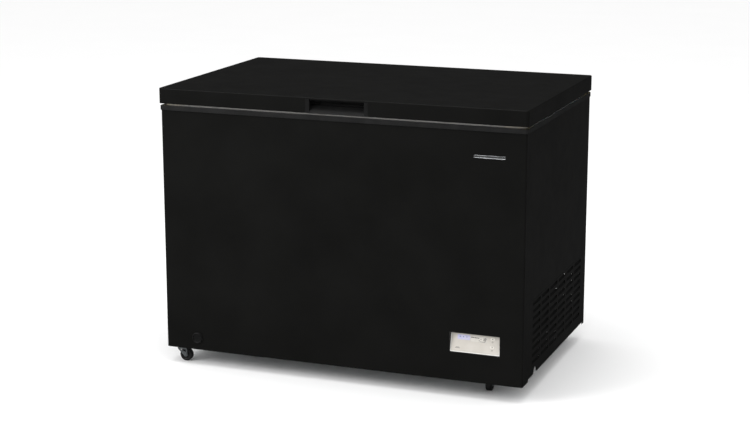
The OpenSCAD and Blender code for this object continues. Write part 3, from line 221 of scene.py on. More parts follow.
FINISHES = {
    # Coil-coated steel sheet: a satin black paint with a faint orange peel and a dust film in places
    "painted_steel": cloudy(
        "satin_black_coil_coat", (180, 5), {0.3: "#0f0f0e", 0.7: "#131312"}, (60, 6, 0.6, 0.34, 0.46),
        (1.6, 1, 0.012), IOR=1.5, Specular_IOR_Level=0.12),
    # Moulded black ABS: fine spark-eroded grain, a little warmer and duller than the paint
    "black_abs": cloudy(
        "black_abs_moulding", (25, 4), {0.35: "#161616", 0.65: "#1d1d1d"}, (8, 4, 0.42, 0.58),
        (0.7, 2, 0.02), IOR=1.53, Specular_IOR_Level=0.3),
    # Hot-dip galvanised sheet: zinc spangle about 9 mm across, each crystal a slightly different grey
    "galvanised": cloudy(
        "galvanised_sheet", (crystals(9, "Red"),), {0.0: "#8d9193", 1.0: "#b3b7b8"},
        (crystals(9, "Red"), 0.34, 0.55), (14, 5, 0.05), Metallic=0.5),
    # Zinc plating on stamped steel: fine rolling marks under a clear, slightly blue passivation
    "zinc_plate": cloudy(
        "bright_zinc_plate", (6, 4), {0.3: "#7f8487", 0.7: "#a3a7a9"}, (2.5, 3, 0.24, 0.42),
        (0.8, 2, 0.01), Metallic=0.8),
    # Stucco-embossed aluminium liner sheet: pebbles about 6 mm across
    "stucco_aluminium": cloudy(
        "stucco_embossed_aluminium", (90, 4), {0.3: "#c4c8ca", 0.7: "#d8dbdc"}, (12, 4, 0.3, 0.44),
        (pebbles, 0.35), Metallic=0.55),
    # Vacuum-formed white polystyrene: a soft satin with a faint pull texture and a hint of cold blue
    "white_polystyrene": cloudy(
        "white_polystyrene_forming", (70, 4), {0.3: "#dfe2e2", 0.7: "#e9ebea"}, (9, 4, 0.3, 0.42),
        (1.4, 2, 0.02), IOR=1.55, Subsurface_Weight=0.05, Subsurface_Scale=0.004),
    # Blown polyurethane foam: pale yellow, closed cells about 0.8 mm drawn as 3 mm so that they show
    "polyurethane_foam": cloudy(
        "blown_polyurethane_foam", (40, 5), {0.3: "#d9c58c", 0.7: "#e8d9a8"},
        (cells(3, "Distance"), 0.75, 0.95), (cells(3, "Distance"), 0.4), IOR=1.4, Specular_IOR_Level=0.2),
    # Extruded soft PVC of a magnetic door seal: pale grey, smooth along its length, faintly dusty
    "soft_pvc": cloudy(
        "soft_pvc_seal", (30, 4), {0.3: "#b0aeab", 0.7: "#bdbbb8"}, (12, 3, 0.38, 0.52),
        (5, 2, 0.03), IOR=1.53, Specular_IOR_Level=0.5),
    # Moulded EPDM rubber: near-black and matte, with a fine bloom
    "moulded_rubber": cloudy(
        "moulded_epdm_rubber", (10, 5), {0.35: "#161515", 0.7: "#242322"}, (3, 3, 0.62, 0.8),
        (1.0, 3, 0.03), IOR=1.5, Specular_IOR_Level=0.3),
    # Drawn copper tube: bright where handled, browned by brazing in patches
    "copper_tube": cloudy(
        "drawn_copper_tube", (45, 4, 0.6), {0.35: "#8a4a2e", 0.5: "#c07a56", 0.75: "#d58e68"},
        (5, 4, 0.22, 0.42), (1.2, 2, 0.01), Metallic=1.0),
    # Extruded aluminium tube: pale, with faint oxide clouds
    "aluminium_tube": cloudy(
        "extruded_aluminium_tube", (30, 4), {0.3: "#c3c6c8", 0.7: "#dcdedf"}, (6, 3, 0.3, 0.46),
        Metallic=1.0),
    # Black-lacquered welded steel tube: thin satin lacquer with scuffs
    "bundy_tube": cloudy(
        "lacquered_steel_tube", (12, 5), {0.3: "#17181a", 0.75: "#2c2d2f"}, (4, 3, 0.35, 0.55), IOR=1.5),
    # Dipped black enamel on a pressed steel pot: glossy, with slow sags and fine dust
    "compressor_enamel": cloudy(
        "dipped_black_enamel", (20, 5), {0.35: "#0e0e0f", 0.75: "#1b1b1c"}, (14, 4, 0.28, 0.45),
        (7, 3, 0.08), IOR=1.55, Coat_Weight=0.4, Coat_Roughness=0.12),
    # ABS moulding sprayed with a warm silver lacquer: tiny metal flakes under a satin clear coat
    "silver_fascia": cloudy(
        "silver_lacquered_abs", (30, 3), {0.3: "#c9c4bb", 0.7: "#d2cdc5"}, (crystals(0.9, "Green"), 0.3, 0.5),
        (crystals(0.9, "Green"), 0.004), Metallic=0.1, IOR=1.5, Coat_Weight=0.3, Coat_Roughness=0.25),
    # Gloss white ABS: the raised border of the control panel
    "white_abs": cloudy(
        "gloss_white_abs", (20, 3), {0.3: "#e6e6e3", 0.7: "#f0f0ee"}, (5, 3, 0.2, 0.32),
        (1.0, 2, 0.008), IOR=1.53),
    # Warm pale ABS of the keys: a touch lighter than the fascia, satin, with a fine grain
    "button_abs": cloudy(
        "satin_pale_key_abs", (6, 3), {0.3: "#d8d3ca", 0.7: "#e0dcd4"}, (3, 3, 0.3, 0.42),
        (0.7, 2, 0.012), IOR=1.53),
    # Acrylic window over a reflective liquid-crystal display: pale grey, glossy, with a faint polish haze
    "pale_display": cloudy(
        "acrylic_over_pale_display", (12, 3), {0.3: "#cbc7bf", 0.7: "#d4d0c9"}, (4, 4, 0.08, 0.16), IOR=1.49),
    "violet_film": violet_film(),
    # Dark enamel sunk in the badge's rim: smooth and glossy with fine dust
    "badge_enamel": cloudy(
        "dark_badge_enamel", (6, 3), {0.3: "#222324", 0.7: "#2b2c2d"}, (3, 3, 0.18, 0.3),
        IOR=1.5, Specular_IOR_Level=0.3),
    # Moulded black ABS of the handle: a coarser spark grain and a little more sheen than the paint round it
    "handle_abs": cloudy(
        "grained_black_abs", (20, 4), {0.35: "#131313", 0.65: "#181818"}, (6, 4, 0.36, 0.5),
        (0.9, 2, 0.03), IOR=1.53, Specular_IOR_Level=0.2),
    # Screen-printed dark ink: thin, slightly raised and matte
    "printed_ink": cloudy(
        "screen_printed_ink", (3, 3), {0.3: "#1c1d20", 0.7: "#2a2b2e"}, (2, 3, 0.45, 0.6), IOR=1.5),
    # Tinted acrylic light lens: blue and glossy, with slow changes of tint
    "blue_lens": cloudy(
        "blue_acrylic_lens", (2, 3), {0.3: "#3f6ea8", 0.7: "#6c97c9"}, (1.5, 2, 0.1, 0.2),
        IOR=1.49, Transmission_Weight=0.15),
    # Chromed ABS: bright, with faint hairlines
    "polished_badge": cloudy(
        "satin_chromed_abs", (20, 2), {0.3: "#c3c5c8", 0.7: "#dfe1e3"}, (hairlines, 0.16, 0.34),
        Metallic=1.0),
    # Glass-epoxy laminate under green solder mask: copper tracks show as paler lines
    "circuit_laminate": cloudy(
        "green_glass_epoxy_board", (tracks,), {0.0: "#1d5a33", 1.0: "#3f8a58"}, (4, 3, 0.28, 0.4),
        (tracks, 0.03), IOR=1.55),
    # Moulded black nylon: slight sheen, swirled flow marks and scuffs from the floor
    "nylon_wheel": cloudy(
        "moulded_black_nylon", (6, 5), {0.35: "#111112", 0.75: "#2a2a29"}, (3, 4, 0.38, 0.62),
        (1.2, 3, 0.03), IOR=1.53, Specular_IOR_Level=0.4),
    # Oil-tempered spring wire: dark blue-grey under a film of grease
    "oiled_spring_steel": cloudy(
        "oil_tempered_spring_wire", (4, 4), {0.3: "#4a4d52", 0.7: "#6b6e72"}, (2, 3, 0.25, 0.4),
        Metallic=1.0, Coat_Weight=0.4, Coat_Roughness=0.2),
    # Extruded white PVC sleeving: smooth and a little grimy
    "white_pvc_sleeve": cloudy(
        "white_pvc_sleeve", (18, 4), {0.3: "#c9c8c0", 0.7: "#dddcd6"}, (5, 3, 0.35, 0.5), IOR=1.54),
    # White polyethylene dip coat on steel wire: thick, soft gloss, slightly lumpy
    "dipped_wire": cloudy(
        "white_polyethylene_dip", (40, 3), {0.3: "#e2e2de", 0.7: "#ecece9"}, (6, 3, 0.28, 0.42),
        (4, 2, 0.05), IOR=1.52, Subsurface_Weight=0.08, Subsurface_Scale=0.002),
    "studio_floor": studio_floor(),
}

# The CAD nodes of each finish
NODE_FINISHES = {
    "painted_steel": "cabinet_shell rear_vent_cover side_grille lid_panel",
    "black_abs": "top_frame control_housing lid_handle drain_outlet drain_cap terminal_cover",
    "galvanised": "back_panel base_panel front_rail rear_rail compressor_tray",
    "zinc_plate": "castor_plates left_castor_fork left_castor_axle right_castor_fork right_castor_axle "
                  "rear_roller_brackets rear_roller_axles left_hinge_base right_hinge_base hinge_pins "
                  "left_hinge_leaf right_hinge_leaf cabinet_screws",
    "stucco_aluminium": "inner_liner",
    "white_polystyrene": "lid_liner inner_drain_plug drain_pipe",
    "polyurethane_foam": "insulation_foam lid_foam",
    "soft_pvc": "lid_gasket",
    "moulded_rubber": "compressor_grommets cord_gland",
    "copper_tube": "filter_dryer discharge_pipe liquid_pipe suction_pipe capillary_tube",
    "aluminium_tube": "evaporator_coil",
    "bundy_tube": "condenser_coil",
    "compressor_enamel": "compressor",
    "silver_fascia": "control_fascia",
    "button_abs": "button_upper button_lower",
    "pale_display": "display_window",
    "blue_lens": "indicator_lights",
    "polished_badge": "name_badge",
    "circuit_laminate": "control_board",
    "nylon_wheel": "left_castor_wheel right_castor_wheel rear_left_roller rear_right_roller",
    "oiled_spring_steel": "hinge_springs",
    "white_pvc_sleeve": "wiring_harness",
    "dipped_wire": "wire_basket",
}
FINISH_OF = {node: finish_name for finish_name, nodes in NODE_FINISHES.items() for node in nodes.split()}
for node_name, node_object in frame["nodes"].items():
    node_object.data.materials.clear()
    node_object.data.materials.append(FINISHES[FINISH_OF[node_name]])


# ---- mesh tools

def body_of(node):
    """The CAD body that a node belongs to."""
    return next(body for body, nodes in frame["record"]["behaviour"]["bodies"].items() if node in nodes)


def in_scene(made):
    bpy.context.scene.collection.objects.link(made)
    return made


def loose_object(mesh):
    return in_scene(bpy.data.objects.new("draft", mesh))


def settled(made):
    """The object's mesh with its modifiers carried out; the object itself is removed."""
    graph = bpy.context.evaluated_depsgraph_get()
    mesh = bpy.data.meshes.new_from_object(made.evaluated_get(graph))
    bpy.data.objects.remove(made)
    return mesh


def piece(name, mesh, node, finish_name=None, sharp=40, replaces=True):
    """Puts a mesh in the scene as a piece that rides with a CAD node's body and may stand for that node.

    It takes the node's own finish unless another is named. Edges over sharp degrees stay crisp.
    """
    mesh.shade_smooth()
    mesh.set_sharp_from_angle(angle=math.radians(sharp))
    draft = loose_object(mesh)
    draft.modifiers.new("flat_faces", "WEIGHTED_NORMAL").keep_sharp = True
    mesh = settled(draft)
    made = in_scene(bpy.data.objects.new(name, mesh))
    mesh.materials.clear()
    mesh.materials.append(FINISHES[finish_name or FINISH_OF[node]])
    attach(made, body_of(node))
    if replaces:
        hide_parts(node)


def mesh_of(form, recalculate=False):
    """A bmesh written to a new mesh."""
    if recalculate:
        bmesh.ops.recalc_face_normals(form, faces=form.faces)
    mesh = bpy.data.meshes.new("mesh")
    form.to_mesh(mesh)
    form.free()
    return mesh


def joined(meshes):
    """Several meshes as one."""
    form = bmesh.new()
    for mesh in meshes:
        form.from_mesh(mesh)
        bpy.data.meshes.remove(mesh)
    return mesh_of(form)


def rounded(mesh, width, segments=2, angle=35):
    """The mesh with its sharp edges rounded to a width in millimetres."""
    draft = loose_object(mesh)
    rounding = draft.modifiers.new("edges", "BEVEL")
    rounding.width = width * MM
    rounding.segments = segments
    rounding.limit_method = "ANGLE"
    rounding.angle_limit = math.radians(angle)
    return settled(draft)


def form_of(node):
    """A CAD node's mesh as a bmesh with its vertices joined."""
    form = bmesh.new()
    form.from_mesh(frame["nodes"][node].data)
    bmesh.ops.remove_doubles(form, verts=form.verts, dist=0.002 * MM)
    return form


def points_of(node):
    return [vertex.co for vertex in frame["nodes"][node].data.vertices]


def soft_copy(name, node, width, segments=2, angle=50, sharp=40):
    """A piece that is a CAD node's mesh with its sharp edges rounded to a width in millimetres."""
    form = form_of(node)
    bmesh.ops.dissolve_limit(form, angle_limit=math.radians(1), verts=form.verts, edges=form.edges)
    piece(name, rounded(mesh_of(form), width, segments, angle), node, sharp=sharp)


def islands(node):
    """The boxes (low corner, high corner) of a CAD node's separate solids."""
    form = form_of(node)
    left = set(form.verts)
    found = []
    while left:
        reached = [left.pop()]
        for vertex in reached:
            near = {edge.other_vert(vertex) for edge in vertex.link_edges} & left
            left -= near
            reached.extend(near)
        found.append([Vector([pick(v.co[k] for v in reached) for k in range(3)]) for pick in (min, max)])
    form.free()
    return sorted(found, key=lambda box: tuple(box[0]))


def span_at(node, axis, value, reach=0.1):
    """The limits of a node's points that lie at a place on one axis, within reach millimetres."""
    near = [co for co in points_of(node) if abs(co[axis] - value) < reach * MM]
    return [(min(p[k] for p in near), max(p[k] for p in near)) for k in range(3)]


def corner_loop(x, y, radius, z, steps=8):
    """Points round a rectangle with round corners, at one height."""
    points = []
    centres = ((x[1] - radius, y[1] - radius), (x[0] + radius, y[1] - radius),
               (x[0] + radius, y[0] + radius), (x[1] - radius, y[0] + radius))
    for corner, (cx, cy) in enumerate(centres):
        for step in range(steps + 1):
            turn = math.radians(90 * (corner + step / steps))
            points.append((cx + radius * math.cos(turn), cy + radius * math.sin(turn), z))
    return points


def inset_loops(x, y, radius, profile, least=1.0):
    """Loops round a rectangle for the (inset, height) pairs of a profile. Insets and radii are in mm."""
    return [corner_loop((x[0] + inset * MM, x[1] - inset * MM), (y[0] + inset * MM, y[1] - inset * MM),
                        max(radius - inset, least) * MM, z) for inset, z in profile]


def lofted(loops, closed=False, caps=(True, True)):
    """A skin over loops of as many points each. A closed one joins its last loop to its first."""
    form = bmesh.new()
    rows = [[form.verts.new(point) for point in loop] for loop in loops]
    pairs = list(zip(rows, rows[1:])) + ([(rows[-1], rows[0])] if closed else [])
    for low, high in pairs:
        for i, vertex in enumerate(low):
            nxt = (i + 1) % len(low)
            form.faces.new((vertex, low[nxt], high[nxt], high[i]))
    if not closed:
        if caps[0]:
            form.faces.new(list(reversed(rows[0])))
        if caps[1]:
            form.faces.new(rows[-1])
    return mesh_of(form, recalculate=True)


def turned(profile, steps=48):
    """A closed solid turned round the X axis from (along, radius) points in millimetres."""
    form = bmesh.new()
    rows = []
    for along, radius in profile:
        turns = [2 * math.pi * i / steps for i in range(steps)] if radius > 0 else [0]
        rows.append([form.verts.new((along * MM, radius * MM * math.cos(t), radius * MM * math.sin(t)))
                     for t in turns])
    for low, high in zip(rows, rows[1:] + ([rows[0]] if profile[0][1] > 0 else [])):
        for i in range(steps):
            j = (i + 1) % steps
            ring = [low[i % len(low)], low[j % len(low)], high[j % len(high)], high[i % len(high)]]
            ring = list(dict.fromkeys(ring))
            if len(ring) > 2:
                form.faces.new(ring)
    return mesh_of(form, recalculate=True)


def plate(outline, thickness, holes=()):
    """A flat plate in the XZ plane from Y = 0 to thickness, in millimetres, with holes cut through it."""
    def slab(points, *ends):
        return lofted([[(x * MM, y * MM, z * MM) for x, z in points] for y in ends])
    made = slab(outline, 0, thickness)
    for hole in holes:
        made = cut(made, slab(hole, -1, thickness + 1))
    return made


def block(x, y, z):
    """A box between two limits along each axis, in metres."""
    return lofted([[(x[0], y[0], h), (x[1], y[0], h), (x[1], y[1], h), (x[0], y[1], h)] for h in z])


def cut(mesh, tool):
    """The mesh with another closed mesh taken away from it."""
    draft, cutter = loose_object(mesh), loose_object(tool)
    taking = draft.modifiers.new("cut", "BOOLEAN")
    taking.operation = "DIFFERENCE"
    taking.solver = "EXACT"
    taking.object = cutter
    made = settled(draft)
    bpy.data.objects.remove(cutter)
    return made


def placed(mesh, matrix):
    mesh.transform(matrix)
    return mesh


def shift(x, y, z):
    """A move in millimetres."""
    return Matrix.Translation((x * MM, y * MM, z * MM))


def rotation(degrees, axis):
    return Matrix.Rotation(math.radians(degrees), 4, axis)


def arc(x, y, radius, *angles):
    """Points round a centre at some angles in degrees."""
    return [(x + radius * math.cos(math.radians(a)), y + radius * math.sin(math.radians(a))) for a in angles]


# ---- node trees for what repeats

def shape_tree(name, sockets):
    """A new geometry tree with named inputs. Returns it with its input node and a function that ends it."""
    tree = bpy.data.node_groups.new(name, "GeometryNodeTree")
    for label, kind in {"Geometry": "Geometry", **sockets, "Finish": "Material"}.items():
        tree.interface.new_socket(label, in_out="INPUT", socket_type="NodeSocket" + kind)
    tree.interface.new_socket("Geometry", in_out="OUTPUT", socket_type="NodeSocketGeometry")
    given = add(tree, "NodeGroupInput").outputs

    def end(geometry):
        real = add(tree, "GeometryNodeRealizeInstances", Geometry=geometry).outputs["Geometry"]
        painted = add(tree, "GeometryNodeSetMaterial", Geometry=real, Material=given["Finish"])
        add(tree, "NodeGroupOutput", Geometry=painted.outputs["Geometry"])
        return tree
    return tree, given, end


def wire_tree():
    """Round wire along the edges of a line mesh, with its corners bent to a radius."""
    sockets = {"Wire_Radius": "Float", "Bend_Radius": "Float", "Sides": "Int"}
    tree, given, end = shape_tree("bent_wire", sockets)
    line = add(tree, "GeometryNodeMeshToCurve", Mesh=given["Geometry"]).outputs["Curve"]
    bent = add(tree, "GeometryNodeFilletCurve", mode="POLY", Curve=line, Radius=given["Bend_Radius"],
               Limit_Radius=True, Count=5).outputs["Curve"]
    ring = add(tree, "GeometryNodeCurvePrimitiveCircle", mode="RADIUS", Resolution=given["Sides"],
               Radius=given["Wire_Radius"]).outputs["Curve"]
    skin = add(tree, "GeometryNodeCurveToMesh", Curve=bent, Profile_Curve=ring, Fill_Caps=True)
    return end(skin.outputs["Mesh"])


def repeat_tree():
    """A shape set on every point of a mesh, its Z axis along the point's facing."""
    tree, given, end = shape_tree("set_on_points", {"Shape": "Object"})
    shape = add(tree, "GeometryNodeObjectInfo", Object=given["Shape"]).outputs["Geometry"]
    facing = add(tree, "GeometryNodeInputNamedAttribute", data_type="FLOAT_VECTOR", Name="facing").outputs[0]
    turn = add(tree, "FunctionNodeAlignRotationToVector", axis="Z", Vector=facing).outputs["Rotation"]
    points = add(tree, "GeometryNodeMeshToPoints", Mesh=given["Geometry"]).outputs["Points"]
    set_down = add(tree, "GeometryNodeInstanceOnPoints", Points=points, Instance=shape, Rotation=turn)
    return end(set_down.outputs["Instances"])


def louvre_tree():
    """Leaning blades in columns and rows on the YZ plane, from their lowest corner at the origin."""
    sizes = {key: "Float" for key in ("Pitch_Y", "Pitch_Z", "Length", "Depth", "Thickness", "Lean")}
    tree, given, end = shape_tree("louvre_blades", {"Columns": "Int", "Rows": "Int", **sizes})
    edge = add(tree, "GeometryNodeCurvePrimitiveQuadrilateral", mode="RECTANGLE", Width=given["Depth"],
               Height=given["Thickness"]).outputs["Curve"]
    soft = add(tree, "GeometryNodeFilletCurve", mode="POLY", Curve=edge, Count=2, Limit_Radius=True,
               Radius=0.4 * MM).outputs["Curve"]
    lean = add(tree, "ShaderNodeCombineXYZ", Z=given["Lean"]).outputs["Vector"]
    leaned = add(tree, "GeometryNodeTransform", Geometry=soft, Rotation=lean).outputs["Geometry"]
    reach = add(tree, "ShaderNodeCombineXYZ", Y=given["Length"]).outputs["Vector"]
    line = add(tree, "GeometryNodeCurvePrimitiveLine", mode="POINTS", End=reach).outputs["Curve"]
    blade = add(tree, "GeometryNodeCurveToMesh", Curve=line, Profile_Curve=leaned, Fill_Caps=True)

    def row(shape, count, **step):
        offset = add(tree, "ShaderNodeCombineXYZ", **step).outputs["Vector"]
        line = add(tree, "GeometryNodeMeshLine", mode="OFFSET", Count=count, Offset=offset).outputs["Mesh"]
        return add(tree, "GeometryNodeInstanceOnPoints", Points=line, Instance=shape).outputs["Instances"]
    columns = row(blade.outputs["Mesh"], given["Columns"], Y=given["Pitch_Y"])
    return end(row(columns, given["Rows"], Z=given["Pitch_Z"]))


def grown(tree, mesh, finish_name, **inputs):
    """The plain mesh that a geometry tree makes of a mesh, with the tree's inputs set by name."""
    draft = loose_object(mesh)
    grow = draft.modifiers.new("grow", "NODES")
    grow.node_group = tree
    inputs["Finish"] = FINISHES[finish_name]
    for item in tree.interface.items_tree:
        if item.item_type == "SOCKET" and item.in_out == "INPUT" and item.name in inputs:
            grow[item.identifier] = inputs[item.name]
    return settled(draft)


def lines_mesh(paths, closed=False):
    """A mesh of edges along lists of points in metres."""
    form = bmesh.new()
    for path in paths:
        row = [form.verts.new(point) for point in path]
        for a, b in list(zip(row, row[1:])) + ([(row[-1], row[0])] if closed else []):
            form.edges.new((a, b))
    return mesh_of(form)


def points_mesh(places):
    """A mesh of points with a facing for each, from (place, facing) pairs in metres."""
    mesh = bpy.data.meshes.new("points")
    mesh.from_pydata([place for place, _ in places], [], [])
    facing = mesh.attributes.new("facing", "FLOAT_VECTOR", "POINT")
    for i, (_, direction) in enumerate(places):
        facing.data[i].vector = direction
    return mesh


WIRE = wire_tree()
REPEAT = repeat_tree()
LOUVRES = louvre_tree()


def set_on(places, shape, finish_name):
    """One mesh of a shape repeated at (place, facing) pairs."""
    pattern = loose_object(shape)
    made = grown(REPEAT, points_mesh(places), finish_name, Shape=pattern)
    bpy.data.objects.remove(pattern)
    return made


# ---- lid

def handle_tool(clearance):
    """The room that the handle takes out of the lid's front, with a clearance in millimetres."""
    gap, past = clearance * MM, 5 * MM
    return block((HANDLE.x[0] - gap, HANDLE.x[1] + gap), (LID.y[0] - past, HANDLE.y[1] + gap),
                 (LID.z[0] - past, HANDLE.z[1] + gap))


def lid_shell():
    """The lid's folded steel skin, with a soft edge round its top and a turned hem."""
    low, top = LID.z
    fillet, skin, hem, corner, steps = 3.0, 1.0, 0.5, 9.0, 6
    outer = [(hem, low), (0.0, low + hem * MM), (0.0, low + 20 * MM)]
    for step in range(steps + 1):
        angle = math.radians(90 * step / steps)
        outer.append((fillet * (1 - math.cos(angle)), top - fillet * (1 - math.sin(angle)) * MM))
    inner = [(inset + skin, z - (skin * MM if inset > 0.6 else 0)) for inset, z in reversed(outer[2:])]
    body = lofted(inset_loops(LID.x, LID.y, corner, inner + [(skin, low)] + outer))
    piece("lid_shell", cut(body, handle_tool(0.05)), "lid_panel", sharp=50)


def lid_inner():
    """The lid's vacuum-formed inner panel: a flange, the plug in the cavity and its pressed field."""
    flange, low = LID.z[0], LID_LINER.z[0]
    plug = span_at("lid_liner", 2, low)
    plug_in = (plug[0][0] - LID_LINER.x[0]) / MM
    # Each is a distance in from the plug's side and a rise from the flange or from the plug's face
    folds = ((-2, flange, 0), (-0.6, flange, -0.6), (0, flange, -2), (0, low, 2.5), (0.8, low, 0.8),
             (2.5, low, 0), (42, low, 0), (43, low, 0.2), (45, low, 0.7), (46, low, 0.8),
             (100, low, 0.8), (101, low, 0.7), (103, low, 0.2), (104, low, 0.1))
    profile = [(0, flange)] + [(plug_in + inset, base + rise * MM) for inset, base, rise in folds]
    straight = [co.y for co in points_of("lid_liner")
                if abs(co.z - low) < 0.1 * MM and abs(co.x - plug[0][1]) < 0.1 * MM]
    corner = (plug[1][1] - max(straight)) / MM
    loops = inset_loops(LID_LINER.x, LID_LINER.y, plug_in + corner, profile, least=corner / 2)
    draft = loose_object(lofted(loops, caps=(False, True)))
    if max(draft.data.polygons, key=lambda face: face.area).normal.z > 0:
        draft.data.flip_normals()
    wall = draft.modifiers.new("wall", "SOLIDIFY")
    wall.thickness, wall.offset = 0.5 * MM, -1
    piece("lid_inner_panel", cut(settled(draft), handle_tool(0)), "lid_liner", sharp=50)


def lid_seal():
    """The magnetic seal: a magnet pocket under a thin bellows, welded at its corners."""
    low, high = GASKET.z
    shape = ((0, 0.0), (0, 0.36), (1.2, 0.46), (2.6, 0.55), (1.0, 0.7), (1.6, 0.87), (2.5, 1.0), (11.5, 1.0),
             (12.4, 0.87), (13.0, 0.7), (11.4, 0.55), (12.8, 0.46), (14, 0.36), (14, 0.0))
    profile = [(inset, low + (high - low) * share) for inset, share in shape]
    loops = inset_loops(GASKET.x, GASKET.y, 20.0, profile, least=3)
    piece("lid_seal", lofted(loops, closed=True), "lid_gasket", sharp=60)


def handle():
    """The handle moulding: a frame with soft edges round a recess that narrows to the finger slot."""
    inside = [co for co in points_of("lid_handle") if abs(co.x) < HANDLE.x[1] - 5 * MM]
    x = (min(co.x for co in inside), max(co.x for co in inside))
    levels = sorted({round(co.y, 4) for co in inside})
    throat = [[y] + [pick(co.z for co in inside if abs(co.y - y) < 0.2 * MM) for pick in (min, max)]
              for y in levels]
    front, back = HANDLE.y
    soft, frame_corner, mouth_corner = 0.9, 0.4, 1.3

    def loop(x, z, y, grow, radius):
        g = grow * MM
        around = corner_loop((x[0] - g, x[1] + g), (z[0] - g, z[1] + g), radius * MM, 0, 3)
        return [(px, y, pz) for px, pz, _ in around]
    outer = ((back, 0.0), (front + soft * MM, 0.0), (front + 0.25 * MM, -0.25), (front, -soft))
    loops = [loop(HANDLE.x, HANDLE.z, y, grow, frame_corner) for y, grow in outer]
    mouth = throat[0][1:]
    slope = [(a - b) / (throat[1][0] - front) for a, b in zip(throat[1][1:], mouth)]
    for depth, grow in ((0.0, soft), (0.25, 0.25), (soft, 0.0)):
        z = [edge + rise * depth * MM for edge, rise in zip(mouth, slope)]
        loops.append(loop(x, z, front + depth * MM, grow, mouth_corner))
    for y, low, high in throat[1:]:
        loops.append(loop(x, (low, high), y, 0.0, mouth_corner))
    piece("lid_handle_moulding", lofted(loops), "lid_handle", "handle_abs", sharp=50)


# ---- cabinet

def cabinet_sheets():
    """The folded steel skin and the moulded rim round the cavity, with the edges that folding leaves."""
    soft_copy("cabinet_skin", "cabinet_shell", 0.45, sharp=30)
    soft_copy("cavity_rim", "top_frame", 1.0, sharp=30)


def slot_edges():
    """The slots' limits on the grille's outer face: their ends along Y and their edges along Z, in metres."""
    along, up = {}, {}
    for co in points_of("side_grille"):
        if co.x > GRILLE.x[1] - 0.1 * MM:
            along.setdefault(round(co.y, 5), set()).add(round(co.z, 5))
            up.setdefault(round(co.z, 5), set()).add(round(co.y, 5))
    ends = sorted(y for y, heights in along.items() if len(heights) >= 10)
    edges = sorted(z for z, places in up.items() if len(places) >= 8)
    return ends, edges


def grille():
    """The pressed grille with a leaning blade behind every slot."""
    soft_copy("grille_panel", "side_grille", 0.35, 1, sharp=30)
    ends, edges = slot_edges()
    blade_depth, blade_thickness, lean = 13, 1, 52
    behind, above = 5.2, 1.5
    blades = grown(LOUVRES, lines_mesh([]), "painted_steel", Columns=len(ends) // 2, Rows=len(edges) // 2,
                   Pitch_Y=ends[2] - ends[0], Pitch_Z=edges[2] - edges[0], Length=ends[1] - ends[0],
                   Depth=blade_depth * MM, Thickness=blade_thickness * MM, Lean=math.radians(lean))
    first = Vector((GRILLE.x[1] - behind * MM, ends[0], (edges[0] + edges[1]) / 2 + above * MM))
    piece("grille_blades", placed(blades, Matrix.Translation(first)), "side_grille", replaces=False)


def badge():
    """A plain badge: a thin satin rim round a dark sunken field."""
    span = Span("name_badge")
    width, height = (span.x[1] - span.x[0]) / 2 / MM, (span.z[1] - span.z[0]) / 2 / MM
    depth, rim = (span.y[1] - span.y[0]) / MM, 0.9

    def outline(inset, radius):
        x, z = (-width + inset, width - inset), (-height + inset, height - inset)
        return [point[:2] for point in corner_loop(x, z, radius, 0)]
    bar = cut(plate(outline(0, 2), depth), placed(plate(outline(rim, 1.2), 1), shift(0, -0.5, 0)))
    middle = Matrix.Translation((span.middle().x, span.y[0], span.middle().z))
    piece("badge_bar", placed(rounded(bar, 0.2, 1), middle), "name_badge")
    field = placed(plate(outline(rim + 0.1, 1.1), depth - 0.7), middle @ shift(0, 0.6, 0))
    piece("badge_field", field, "name_badge", "badge_enamel", replaces=False)


def screws():
    """Pan-head screws with a cross recess, where the CAD has its plain heads."""
    profile = ((0, 0.0), (0, 3.9), (0.5, 4.0), (1.1, 3.8), (1.7, 3.1), (2.1, 1.9), (2.2, 0.0))
    drawn_height, drawn_radius, slot = 2.2, 4.0, 0.35
    heads = islands("cabinet_screws")
    low, high = heads[0]
    radius, height = max(high - low) / 2 / MM, min(high - low) / MM
    head = turned([(along * height / drawn_height, r * radius / drawn_radius) for along, r in profile], 20)
    for degrees in (0, 90):
        bar = block((height * 0.45 * MM, 2 * height * MM), (-slot * MM, slot * MM),
                    (-radius * 0.55 * MM, radius * 0.55 * MM))
        head = cut(head, placed(bar, rotation(degrees, "X")))
    head = placed(head, rotation(-90, "Y"))
    middle = CABINET.middle()
    places = []
    for low, high in heads:
        size = high - low
        axis = min(range(3), key=lambda k: size[k])
        facing = Vector((0, 0, 0))
        facing[axis] = 1 if (low + high)[axis] / 2 > middle[axis] else -1
        places.append(((low + high) / 2 - facing * size[axis] / 2, facing))
    piece("screw_heads", set_on(places, head, "zinc_plate"), "cabinet_screws", sharp=35)


# ---- control panel

def panel_frame():
    """The leaning face of the fascia: X across, Y into the cabinet, Z up the face, from the face's middle."""
    mesh = frame["nodes"]["control_fascia"].data
    front = max((p for p in mesh.polygons if p.normal.y < -0.5), key=lambda p: p.area)
    inward = -front.normal.normalized()
    across = Vector((1, 0, 0))
    up = across.cross(inward)
    near = [v.co for v in mesh.vertices if abs((v.co - front.center).dot(inward)) < 0.1 * MM]
    heights = [(co - front.center).dot(up) for co in near]
    sides = [co.x for co in near]
    middle = front.center + up * (min(heights) + max(heights)) / 2
    middle.x = (min(sides) + max(sides)) / 2
    lean = Matrix((across, inward, up)).transposed().to_4x4()
    size = ((max(sides) - min(sides)) / MM, (max(heights) - min(heights)) / MM)
    return Matrix.Translation(middle) @ lean, size


def in_panel(node, at):
    """The middle and half sizes of a node on the panel's face, across and up, in millimetres."""
    points = [at.inverted() @ co for co in points_of(node)]
    x, z = [p.x / MM for p in points], [p.z / MM for p in points]
    return (min(x) + max(x)) / 2, (min(z) + max(z)) / 2, (max(x) - min(x)) / 2, (max(z) - min(z)) / 2


